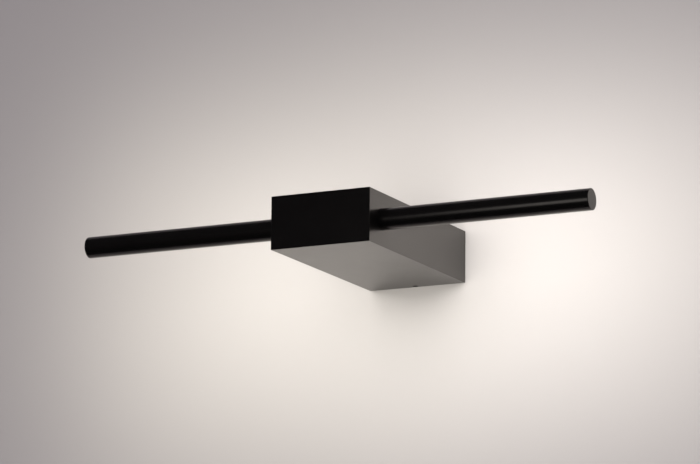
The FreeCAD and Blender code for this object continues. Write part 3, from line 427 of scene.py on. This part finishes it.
def machined_brass():
    """Brass with machining rings and a light tarnish."""
    brass = Finish("machined brass", Metallic=1.0)
    chosen = finishes().brass
    tarnish = brass.noise(3 * MM, detail=4)
    brass.colour(brass.mixed(tarnish, shade(chosen, 0.75), chosen))
    brass.roughness(brass.between(tarnish, 0.36, 0.22))
    brass.rings("Y", *BORING_RINGS)
    return brass.made


def tinned(name, chosen):
    """Tin: bright, with soft waves where it ran."""
    tin = Finish(name, Metallic=1.0)
    wave = tin.noise(1.8 * MM, detail=4)
    tin.colour(tin.mixed(wave, shade(chosen, 0.78), chosen))
    tin.roughness(tin.between(wave, 0.40, 0.24))
    tin.bump(wave, 0.03 * MM)
    return tin.made


def insulation(name, colour, roughness=0.42):
    """Extruded lead insulation, with a faint drawn grain."""
    jacket = Finish(name)
    smear = jacket.noise(2.5 * MM, detail=3)
    jacket.colour(jacket.mixed(smear, shade(colour, 0.85), shade(colour, 1.1)))
    jacket.roughness(jacket.between(smear, roughness - 0.06, roughness + 0.06))
    jacket.marks(DRAWN_GRAIN)
    return jacket.made


# The yellow stripes are on a lead's sides, and end between these values of how far its skin points
# up or down.
STRIPE_FULL, STRIPE_GONE = 0.48, 0.54


def earth_insulation():
    """Green insulation with a yellow stripe along each side."""
    jacket = Finish("green and yellow insulation")
    chosen = finishes()
    normal = jacket.axes(jacket.node("ShaderNodeNewGeometry").outputs["Normal"])
    upright = jacket.math("ABSOLUTE", normal["Z"])
    stripe = jacket.between(upright, 1.0, 0.0, STRIPE_FULL, STRIPE_GONE)
    smear = jacket.noise(2.5 * MM, detail=3)
    jacket.colour(jacket.mixed(stripe, chosen.green, chosen.yellow))
    jacket.roughness(jacket.between(smear, 0.36, 0.48))
    jacket.bump(smear, 0.008 * MM)
    return jacket.made


# How strongly the opal covers and the chips' phosphor shine.
OPAL_BETWEEN_CHIPS, OPAL_OVER_CHIPS, PHOSPHOR_LIGHT = 0.40, 0.52, 0.5


def opal_cover():
    """Opal plastic, lit from behind: a little brighter over each light chip."""
    opal = Finish("opal cover", Roughness=0.45, Subsurface_Weight=0.4, Subsurface_Scale=2 * MM)
    chosen = finishes()
    haze = opal.noise(3 * MM, detail=2)
    opal.colour(opal.mixed(haze, shade(chosen.opal, 0.97), chosen.opal))
    along = opal.math("SUBTRACT", opal.math("ABSOLUTE", opal.axes()["X"]), CHIP_START)
    wave = opal.math("COSINE", opal.math("MULTIPLY", along, 2 * math.pi / CHIP_PITCH))
    lit = opal.between(wave, OPAL_BETWEEN_CHIPS, OPAL_OVER_CHIPS, -1, 1)
    opal.feed(opal.shader, "Emission Strength", lit)
    opal.set(opal.shader, Emission_Color=tuple(chosen.light))
    opal.marks(COVER_GRAIN)
    return opal.made


# The copper tracks of a strip: distance from its middle line, half their width, and the width of
# their soft edge.
TRACK_FROM_MIDDLE, TRACK_HALF, TRACK_EDGE = 3.1 * MM, 0.35 * MM, 0.05 * MM


def solder_mask():
    """White solder mask, raised and a little darker over two copper tracks."""
    mask = Finish("white solder mask", Roughness=0.38)
    chosen = finishes()
    across = mask.math("ABSOLUTE", mask.axes()["Z"])
    from_track = mask.math("ABSOLUTE", mask.math("SUBTRACT", across, TRACK_FROM_MIDDLE))
    track = mask.between(from_track, 1.0, 0.0, TRACK_HALF, TRACK_HALF + TRACK_EDGE)
    tint = mask.mixed(mask.noise(8 * MM), shade(chosen.mask, 0.95), chosen.mask)
    mask.colour(mask.mixed(mask.math("MULTIPLY", track, 0.5), tint, shade(chosen.mask, 0.86)))
    mask.bump(track, 0.035 * MM)
    mask.marks(MASK_GRAIN)
    return mask.made


CHIP_FRAME_COLOUR = (0.86, 0.86, 0.83)


def chip_frame():
    return moulded_plastic("chip frame", CHIP_FRAME_COLOUR, 0.35, FRAME_GRAIN, 0.02)


def resistor_body():
    return moulded_plastic("resistor body", finishes().resistor, 0.30, RESISTOR_GRAIN)


def phosphor():
    """Yellow phosphor in clear resin, grainy and lit."""
    resin = Finish("phosphor", Roughness=0.25)
    chosen = finishes()
    grain = resin.noise(0.12 * MM, detail=2)
    resin.colour(resin.mixed(grain, shade(chosen.phosphor, 0.85), shade(chosen.phosphor, 1.15)))
    resin.set(resin.shader, Emission_Color=tuple(chosen.light), Emission_Strength=PHOSPHOR_LIGHT)
    resin.bump(grain, 0.004 * MM)
    return resin.made


def paint(material, *nodes):
    """Give CAD nodes a material."""
    for name in nodes:
        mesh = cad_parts[name].data
        mesh.materials.clear()
        mesh.materials.append(material)


def give(piece, *names):
    """Give a piece of the scene the materials with these names, in this order."""
    for name in names:
        piece.data.materials.append(bpy.data.materials[name])


# ---- Modelling by hand ----

def deselect_all():
    """Leave edit mode, with nothing selected."""
    if bpy.context.object and bpy.context.object.mode != "OBJECT":
        bpy.ops.object.mode_set(mode="OBJECT")
    bpy.ops.object.select_all(action="DESELECT")


def choose(piece):
    """Make a piece the only one selected."""
    deselect_all()
    piece.select_set(True)
    bpy.context.view_layer.objects.active = piece


def new_block(name, size, centre=(0, 0, 0)):
    """A block, ready to be shaped."""
    deselect_all()
    bpy.ops.mesh.primitive_cube_add(size=1)
    piece = bpy.context.object
    piece.name = piece.data.name = name
    piece.data.transform(Matrix.Translation(centre) @ Matrix.Diagonal((*size, 1)))
    return piece


def pick_faces(piece, wanted):
    """In edit mode, select only the faces that pass the wanted test."""
    bpy.ops.object.mode_set(mode="OBJECT")
    for element in (*piece.data.vertices, *piece.data.edges, *piece.data.polygons):
        element.select = False
    for face in piece.data.polygons:
        face.select = wanted(face)
    bpy.ops.object.mode_set(mode="EDIT")
    bpy.context.tool_settings.mesh_select_mode = (False, False, True)


def copies_in_row(piece, name, offsets):
    """Copies of a piece, each with its own mesh, joined to one object."""
    made = []
    for offset in offsets:
        copied = piece.copy()
        copied.data = piece.data.copy()
        copied.data.transform(Matrix.Translation(offset))
        bpy.context.collection.objects.link(copied)
        made.append(copied)
    bpy.data.objects.remove(piece)
    deselect_all()
    for copied in made:
        copied.select_set(True)
    bpy.context.view_layer.objects.active = made[0]
    bpy.ops.object.join()
    made[0].name = made[0].data.name = name
    return made[0]


# ---- Light chips ----

STRIP_FACE_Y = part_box("led_strip_right")[1].y
# How far the corners of a chip's window are rounded.
CHIP_CORNER = 0.3 * MM


def one_light_chip():
    """A white frame with a recessed window of phosphor, foot on the strip's face."""
    chosen = sizes()
    chip = new_block("light_chip", CHIP_SIZE, (0, STRIP_FACE_Y + CHIP_SIZE[1] / 2, 0))
    choose(chip)
    pick_faces(chip, lambda face: face.normal.y > FACING)
    bpy.ops.mesh.inset(thickness=chosen.chip_frame)
    bpy.ops.mesh.bevel(offset=CHIP_CORNER, segments=2, affect="VERTICES")
    bpy.ops.object.mode_set(mode="OBJECT")
    window = min((face for face in chip.data.polygons if face.normal.y > FACING),
                 key=lambda face: math.hypot(face.center.x, face.center.z))
    middle = window.center.copy()
    pick_faces(chip, lambda face: (face.center - middle).length < SAME_PLACE
               and face.normal.y > FACING)
    bpy.ops.mesh.extrude_region_move(TRANSFORM_OT_translate={"value": (0, -chosen.chip_recess, 0)})
    bpy.ops.object.mode_set(mode="OBJECT")
    return chip


def mark_window(chip):
    """Give the window the second material."""
    depth = STRIP_FACE_Y + CHIP_SIZE[1] - sizes().chip_recess
    for face in chip.data.polygons:
        at_depth = abs(face.center.y - depth) < SAME_PLACE
        face.material_index = int(face.normal.y > FACING and at_depth)


def light_chips(side, sign):
    """The row of chips of one arm."""
    chip = one_light_chip()
    mark_window(chip)
    give(chip, "chip frame", "phosphor")
    offsets = [(sign * (CHIP_START + number * CHIP_PITCH), 0, 0) for number in range(CHIP_COUNT)]
    row = copies_in_row(chip, f"light_chips_{side}", offsets)
    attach(row, "light_tube")
    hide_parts(f"leds_{side}")


# ---- Solder joints and resistors on the strips ----

# The leads' pads: distance from the light's middle, and from the strip's middle line.
PAD_X, PAD_Z = 16 * MM, 2 * MM
# A solder joint: number of its sides, share of its height in the foot, and for each ring above the
# share of the height that it rises and its width as a share of the ring below.
SOLDER_SIDES, SOLDER_FOOT = 24, 0.3
SOLDER_RINGS = ((0.35, 0.78), (0.25, 0.70), (0.10, 0.50))
SOLDER_SMOOTH = math.radians(50)
# A resistor: size of its body, length of each cap, bevel, and chips from one to the next.
RESISTOR_SIZE = (1.1 * MM, 0.45 * MM, 0.8 * MM)
RESISTOR_END, RESISTOR_BEVEL = 0.25 * MM, 0.05 * MM
RESISTOR_EVERY = 6


def one_solder_joint():
    """A low dome with a flared foot, on the strip's face."""
    chosen = sizes()
    deselect_all()
    height = chosen.solder_height
    foot_height = height * SOLDER_FOOT
    bpy.ops.mesh.primitive_cylinder_add(vertices=SOLDER_SIDES, radius=chosen.solder_width / 2,
                                        depth=foot_height)
    joint = bpy.context.object
    turn = Matrix.Rotation(math.radians(-90), 4, "X")
    foot = Matrix.Translation((0, STRIP_FACE_Y + foot_height / 2, 0))
    joint.data.transform(foot @ turn)
    pick_faces(joint, lambda face: face.normal.y > FACING)
    for rise, spread in SOLDER_RINGS:
        bpy.ops.mesh.extrude_region_move(TRANSFORM_OT_translate={"value": (0, height * rise, 0)})
        bpy.ops.transform.resize(value=(spread, 1, spread),
                                 center_override=(0, STRIP_FACE_Y + height, 0))
    choose(joint)
    bpy.ops.object.shade_smooth_by_angle(angle=SOLDER_SMOOTH)
    return joint


def solder_joints(side, sign):
    """The two joints where the leads meet one arm's strip."""
    joint = one_solder_joint()
    give(joint, "solder")
    pads = [(sign * PAD_X, 0, end * PAD_Z) for end in (1, -1)]
    pair = copies_in_row(joint, f"solder_joints_{side}", pads)
    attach(pair, "light_tube")


def one_resistor():
    """A small dark block with a tinned cap at each end."""
    resistor = new_block("resistor", RESISTOR_SIZE, (0, STRIP_FACE_Y + RESISTOR_SIZE[1] / 2, 0))
    for end in (1, -1):
        pick_faces(resistor, lambda face: face.normal.x * end > FACING)
        bpy.ops.mesh.extrude_region_move(
            TRANSFORM_OT_translate={"value": (end * RESISTOR_END, 0, 0)})
    bpy.ops.mesh.select_all(action="SELECT")
    bpy.ops.mesh.bevel(offset=RESISTOR_BEVEL, segments=2, affect="EDGES")
    bpy.ops.object.mode_set(mode="OBJECT")
    for face in resistor.data.polygons:
        face.material_index = int(abs(face.center.x) > RESISTOR_SIZE[0] / 2)
    return resistor


def resistors(side, sign):
    """The row of resistors of one arm, each between two chips."""
    resistor = one_resistor()
    give(resistor, "resistor body", "solder")
    start = CHIP_START + (RESISTOR_EVERY - 0.5) * CHIP_PITCH
    places = [(sign * (start + number * RESISTOR_EVERY * CHIP_PITCH), 0, 0)
              for number in range(CHIP_COUNT // RESISTOR_EVERY)]
    row = copies_in_row(resistor, f"resistors_{side}", places)
    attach(row, "light_tube")


# ---- Light leads ----

# Routes of the leads to one strip, in millimetres for the right arm: from the solder pad out of
# the tube's mouth, round a slack loop and into the driver.
POSITIVE_ROUTE = ((16, -178.8, 2), (16, -170, 2), (16, -160.4, 2), (22, -160.4, 2),
                  (27.5, -160.4, 1.5), (27.5, -160.4, -4), (27.5, -160.4, -10),
                  (18, -160.4, -10), (9, -160.4, -10), (9, -156, -10), (9, -151, -10))
NEGATIVE_ROUTE = ((16, -178.8, -2), (16, -171, -2), (16, -163.4, -2), (20, -163.4, -2),
                  (24, -163.4, -2.5), (24, -163.4, -7.5), (24, -163.4, -13),
                  (14, -163.4, -13), (4.5, -163.4, -13), (4.5, -157, -13), (4.5, -151, -13))
# How finely a lead is drawn: order of its curve, steps between points and steps round it.
LEAD_ORDER, LEAD_STEPS, LEAD_ROUND = 3, 6, 4
LEAD_WELD, LEAD_SMOOTH = 0.01 * MM, math.radians(40)


def lead_along(name, route, diameter):
    """A round lead on a smooth line through its route, as a closed mesh."""
    deselect_all()
    bpy.ops.curve.primitive_nurbs_path_add()
    path = bpy.context.object
    path.name = name
    curve = path.data
    curve.splines.clear()
    spline = curve.splines.new("NURBS")
    spline.points.add(len(route) - 1)
    for point, place in zip(spline.points, route):
        point.co = (*(along * MM for along in place), 1.0)
    spline.order_u = LEAD_ORDER
    spline.use_endpoint_u = True
    spline.resolution_u = LEAD_STEPS
    curve.bevel_depth = diameter / 2
    curve.bevel_resolution = LEAD_ROUND
    curve.use_fill_caps = True
    bpy.ops.object.convert(target="MESH")
    lead = bpy.context.object
    lead.data.name = name
    bpy.ops.object.mode_set(mode="EDIT")
    bpy.ops.mesh.select_all(action="SELECT")
    bpy.ops.mesh.remove_doubles(threshold=LEAD_WELD)
    bpy.ops.mesh.normals_make_consistent(inside=False)
    bpy.ops.object.mode_set(mode="OBJECT")
    bpy.ops.object.shade_smooth_by_angle(angle=LEAD_SMOOTH)
    return lead


def light_leads():
    """Two leads to each strip. When the first is made, the solid of all four is hidden."""
    first = True
    for side, sign in ARMS.items():
        for pole, route, colour in (("positive", POSITIVE_ROUTE, "red silicone"),
                                    ("negative", NEGATIVE_ROUTE, "black silicone")):
            turned = [(sign * x, y, z) for x, y, z in route]
            lead = lead_along(f"light_lead_{side}_{pole}", turned, sizes().light_lead)
            lead.data.materials.clear()
            give(lead, colour)
            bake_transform(lead)
            if first:
                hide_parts("light_leads")
                first = False


# ---- The stage ----

def area_lamp(name, place, target, width, height, watts, colour=(1, 1, 1), glossy=True):
    """A soft rectangular lamp that looks at its target."""
    light = bpy.data.lights.new(name, "AREA")
    light.shape = "RECTANGLE"
    light.size, light.size_y = width, height
    light.energy = watts
    light.color = colour
    lamp = bpy.data.objects.new(name, light)
    bpy.context.collection.objects.link(lamp)
    lamp.location = place
    lamp.rotation_euler = (Vector(target) - Vector(place)).to_track_quat("-Z", "Y").to_euler()
    lamp.visible_camera = False
    lamp.visible_glossy = glossy
    return lamp


def wall_paint():
    """Pale wall paint, clear from behind and behind the bracket, so the back can be seen."""
    wall = Finish("wall paint", Roughness=0.9, Specular_IOR_Level=0.2)
    chosen = stage_choices().wall
    patches = wall.noise(0.8, detail=2)
    wall.colour(wall.mixed(patches, shade(chosen, 0.985), shade(chosen, 1.015)))
    wall.marks(ROLLER_MARKS, detail=3)
    axes = wall.axes()
    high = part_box("wall_bracket")[1]
    open_x = wall.math("LESS_THAN", wall.math("ABSOLUTE", axes["X"]), high.x)
    open_z = wall.math("LESS_THAN", wall.math("ABSOLUTE", axes["Z"]), high.z)
    behind = wall.node("ShaderNodeNewGeometry").outputs["Backfacing"]
    clear = wall.math("MAXIMUM", behind, wall.math("MULTIPLY", open_x, open_z))
    wall.blend(clear, wall.shader, wall.node("ShaderNodeBsdfTransparent"))
    return wall.made


def stage_plane(name, centre, size, turn, material):
    """A flat sheet of the stage, which isn't a piece of the light."""
    deselect_all()
    bpy.ops.mesh.primitive_plane_add(size=1)
    sheet = bpy.context.object
    sheet.name = sheet.data.name = name
    shape = Matrix.Translation(centre) @ Euler(turn).to_matrix().to_4x4()
    sheet.data.transform(shape @ Matrix.Diagonal((*size, 1, 1)))
    sheet.data.materials.append(material)


# The wall stands a hair behind the bracket. Sizes in metres.
WALL_GAP = 0.3 * MM
WALL_WIDTH, WALL_TOP = 8.0, 2.6
FLOOR_SIZE = 40.0
# The strength of the room's light, and the lower one that gloss shows in front of the wall.
ROOM_LEVEL, ROOM_GLOSS = 0.90, 0.035
# Gloss goes over from the lower strength to the full one between these values of a direction's Y,
# which is 1 straight behind the wall.
ROOM_TURNS = (0.05, 0.4)
# Gloss shows this share of the floor's colour in front of the wall, and all of it from this many
# metres behind the wall on.
FLOOR_GLOSS, FLOOR_FADE = 0.04, 0.3
# The tube's light on the wall: a narrow lamp on each opal cover (the glow), a wide one round it
# (the wash), and one that stays put when the tube turns (the halo). The glow points down by its
# tilt, in degrees.
GLOW_LENGTH, GLOW_WIDTH, GLOW_OUT = 140 * MM, 12 * MM, 0.4 * MM
GLOW_TINT = (1.0, 0.96, 0.92)
GLOW_TILT = 8.0
WASH_LENGTH, WASH_HEIGHT, WASH_DROP = 400 * MM, 240 * MM, 20 * MM
HALO_HEIGHT = 400 * MM
# No two of the lamps share a plane, or the light of one of them is partly lost.
WASH_OUT = {"right": 3 * MM, "left": 5 * MM}
HALO_STEP = 4 * MM
WASH_MIDDLE = {"right": 190 * MM, "left": -155 * MM}
WASH_TINT = {"right": (1.0, 0.958, 0.882), "left": (0.930, 0.890, 0.770)}
GLOW_SHARE = {"right": 1, "left": 0.83}
# The room's lamps: place, what they look at, width and height in metres, and watts.
ROOM_LAMPS = {
    "soft right": ((2.2, -1.4, 1.6), (0, 0, 0), 1.4, 1.4, 4),
    "sheen": ((-0.07, -1.1, -0.17), (0.25, -0.18, 0), 0.34, 0.42, 0.52),
    "behind": ((-1.6, 1.8, 1.4), (0, 0, 0), 1.2, 1.2, 60),
}


def build_walls():
    """The wall and a pale floor. Gloss sees the floor dark in front of the wall."""
    chosen = stage_choices()
    floor_z = -chosen.floor_depth
    height = WALL_TOP - floor_z
    stage_plane("wall", (0, WALL_GAP, floor_z + height / 2), (WALL_WIDTH, height),
                (math.radians(90), 0, 0), wall_paint())
    floor = Finish("pale floor", Roughness=0.85, Specular_IOR_Level=0.2)
    path = floor.node("ShaderNodeLightPath").outputs
    in_front = floor.between(floor.axes()["Y"], 1.0, 0.0, 0.0, FLOOR_FADE)
    dimmed = floor.math("MULTIPLY", path["Is Glossy Ray"], in_front)
    patches = floor.noise(1.2, detail=3)
    tint = floor.mixed(patches, shade(chosen.floor, 0.98), shade(chosen.floor, 1.02))
    tint = floor.mixed(dimmed, tint, shade(chosen.floor, FLOOR_GLOSS))
    floor.colour(floor.mixed(path["Is Camera Ray"], tint, chosen.floor_seen))
    stage_plane("floor", (0, 0, floor_z), (FLOOR_SIZE, FLOOR_SIZE), (0, 0, 0), floor.made)


def build_world():
    """A soft room: gloss shows it dark in front of the wall and pale behind it."""
    chosen = stage_choices()
    room = Finish("room", world=True)
    room.set(room.shader, Color=(*chosen.room, 1.0))
    path = room.node("ShaderNodeLightPath").outputs
    towards = room.axes(room.node("ShaderNodeTexCoord").outputs["Generated"])
    in_gloss = room.between(towards["Y"], ROOM_GLOSS, ROOM_LEVEL, *ROOM_TURNS)
    lit = room.math("MULTIPLY", room.math("SUBTRACT", 1.0, path["Is Glossy Ray"]), ROOM_LEVEL)
    strength = room.math("MULTIPLY_ADD", in_gloss, path["Is Glossy Ray"], lit)
    room.feed(room.shader, "Strength", strength)
    backdrop = room.node("ShaderNodeBackground")
    room.set(backdrop, Color=(*chosen.backdrop, 1.0))
    room.blend(path["Is Camera Ray"], room.shader, backdrop)
    bpy.context.scene.world = room.made


def build_lamps():
    """The tube's own light on the wall, and the lamps of the room."""
    chosen = stage_choices()
    drop = math.tan(math.radians(GLOW_TILT))
    for side, sign in ARMS.items():
        low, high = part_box(f"diffuser_{side}")
        inner_end = min(low.x, high.x, key=abs)
        place = Vector((inner_end + sign * GLOW_LENGTH / 2, high.y + GLOW_OUT, 0))
        lamp = area_lamp(f"glow {side}", place, place + Vector((0, 1, -drop)), GLOW_LENGTH,
                         GLOW_WIDTH, chosen.glow * GLOW_SHARE[side], GLOW_TINT, glossy=False)
        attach(lamp, "light_tube")
        place = Vector((WASH_MIDDLE[side], high.y + WASH_OUT[side], -WASH_DROP))
        wall_point = place + Vector((0, 1, 0))
        lamp = area_lamp(f"wash {side}", place, wall_point, WASH_LENGTH, WASH_HEIGHT, chosen.wash,
                         WASH_TINT[side], glossy=False)
        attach(lamp, "light_tube")
        place.y += HALO_STEP
        area_lamp(f"halo {side}", place, wall_point, WASH_LENGTH, HALO_HEIGHT, chosen.halo,
                  WASH_TINT[side], glossy=False)
    for name, settings in ROOM_LAMPS.items():
        area_lamp(name, *settings)


def build_camera():
    """The camera that took the photograph, as far as it could be fitted."""
    camera = bpy.data.cameras.new("camera")
    camera.lens, camera.sensor_width = CAMERA_LENS, CAMERA_SENSOR
    camera.clip_end = CAMERA_REACH
    holder = bpy.data.objects.new("camera", camera)
    bpy.context.collection.objects.link(holder)
    yaw = Matrix.Rotation(math.radians(CAMERA_YAW), 4, "Z")
    pitch = Matrix.Rotation(math.radians(90 + CAMERA_PITCH), 4, "X")
    roll = Matrix.Rotation(math.radians(CAMERA_ROLL), 4, "Z")
    holder.matrix_world = Matrix.Translation(CAMERA_PLACE) @ yaw @ pitch @ roll
    bpy.context.scene.camera = holder


# ---- Operators ----

class TUBELIGHT_OT_coat(bpy.types.Operator):
    """Powder coat the housing, the front cap, the tube and its end caps"""
    bl_idname = "tubelight.coat"
    bl_label = "Powder coat"

    def execute(self, context):
        paint(powder_coat(), "housing_sleeve", "front_cap", "tube_profile", "end_cap_right",
              "end_cap_left")
        return {"FINISHED"}


class TUBELIGHT_OT_sheet_metal(bpy.types.Operator):
    """Galvanise the wall bracket and the chassis tray"""
    bl_idname = "tubelight.sheet_metal"
    bl_label = "Sheet metal"

    def execute(self, context):
        paint(galvanised_sheet(), "wall_bracket", "chassis_tray")
        return {"FINISHED"}


class TUBELIGHT_OT_fasteners(bpy.types.Operator):
    """Finish the screws, studs, nuts and the stop peg"""
    bl_idname = "tubelight.fasteners"
    bl_label = "Fasteners"

    def execute(self, context):
        paint(bright_zinc(), "weld_studs", "tray_nuts", "stop_peg", "driver_screws", "block_screws",
              "terminal_screws", "earth_screw")
        paint(black_oxide(), "fixing_screws", "collar_screws")
        return {"FINISHED"}


class TUBELIGHT_OT_bearing(bpy.types.Operator):
    """Finish the bushes, collars, spring and spacers that the tube and the tray stand on"""
    bl_idname = "tubelight.bearing"
    bl_label = "Tube bearing"

    def execute(self, context):
        paint(black_nylon(), "bush_right", "bush_left")
        paint(turned_aluminium(), "spring_collar", "stop_collar")
        paint(spring_steel(), "disc_spring")
        paint(natural_nylon(), "stud_spacers")
        paint(grommet_rubber(), "cable_grommet")
        return {"FINISHED"}


class TUBELIGHT_OT_driver(bpy.types.Operator):
    """Finish the driver and the terminals"""
    bl_idname = "tubelight.driver"
    bl_label = "Driver and terminals"

    def execute(self, context):
        paint(driver_plastic(), "led_driver", "driver_covers")
        paint(terminal_plastic(), "terminal_block")
        paint(machined_brass(), "terminal_barrels")
        paint(tinned("tinned copper", finishes().tin), "earth_lug")
        return {"FINISHED"}


class TUBELIGHT_OT_leads(bpy.types.Operator):
    """Colour the mains leads and make the light leads"""
    bl_idname = "tubelight.leads"
    bl_label = "Leads"

    def execute(self, context):
        chosen = finishes()
        paint(insulation("brown insulation", chosen.brown), "live_lead")
        paint(insulation("blue insulation", chosen.blue), "neutral_lead")
        paint(earth_insulation(), "earth_lead")
        insulation("red silicone", chosen.red, 0.55)
        insulation("black silicone", chosen.black, 0.55)
        light_leads()
        return {"FINISHED"}


class TUBELIGHT_OT_strips(bpy.types.Operator):
    """Finish the circuit strips and make their light chips, solder joints and resistors"""
    bl_idname = "tubelight.strips"
    bl_label = "Light strips"

    def execute(self, context):
        paint(solder_mask(), "led_strip_right", "led_strip_left")
        chip_frame()
        phosphor()
        tinned("solder", finishes().tin)
        resistor_body()
        for side, sign in ARMS.items():
            light_chips(side, sign)
            solder_joints(side, sign)
            resistors(side, sign)
        return {"FINISHED"}


class TUBELIGHT_OT_diffusers(bpy.types.Operator):
    """Finish the opal covers"""
    bl_idname = "tubelight.diffusers"
    bl_label = "Opal covers"

    def execute(self, context):
        paint(opal_cover(), "diffuser_right", "diffuser_left")
        return {"FINISHED"}


class TUBELIGHT_OT_stage(bpy.types.Operator):
    """Set the light on a pale wall, with soft lamps and the camera"""
    bl_idname = "tubelight.stage"
    bl_label = "Stage"

    def execute(self, context):
        context.scene.view_settings.view_transform = "Standard"
        build_walls()
        build_world()
        build_lamps()
        build_camera()
        return {"FINISHED"}


STEPS = (TUBELIGHT_OT_coat, TUBELIGHT_OT_sheet_metal, TUBELIGHT_OT_fasteners, TUBELIGHT_OT_bearing,
         TUBELIGHT_OT_driver, TUBELIGHT_OT_leads, TUBELIGHT_OT_strips, TUBELIGHT_OT_diffusers,
         TUBELIGHT_OT_stage)


class TUBELIGHT_PT_steps(bpy.types.Panel):
    bl_label = "Tube light"
    bl_idname = "TUBELIGHT_PT_steps"
    bl_space_type = "VIEW_3D"
    bl_region_type = "UI"
    bl_category = "Tube light"

    def draw(self, context):
        for step in STEPS:
            self.layout.operator(step.bl_idname)
        for group in (finishes(), sizes(), stage_choices()):
            column = self.layout.column()
            for name in group.bl_rna.properties.keys():
                if name not in ("rna_type", "name"):
                    column.prop(group, name)


GROUPS = {"tube_light_finishes": TubeLightFinishes, "tube_light_sizes": TubeLightSizes,
          "tube_light_stage": TubeLightStage}


def register():
    for item in (*GROUPS.values(), *STEPS, TUBELIGHT_PT_steps):
        bpy.utils.register_class(item)
    for name, group in GROUPS.items():
        setattr(bpy.types.Scene, name, bpy.props.PointerProperty(type=group))


def unregister():
    for name in GROUPS:
        delattr(bpy.types.Scene, name)
    for item in reversed((*GROUPS.values(), *STEPS, TUBELIGHT_PT_steps)):
        bpy.utils.unregister_class(item)


def main():
    register()
    for step in STEPS:
        group, name = step.bl_idname.split(".")
        getattr(getattr(bpy.ops, group), name)()


if __name__ == "__main__":
    main()
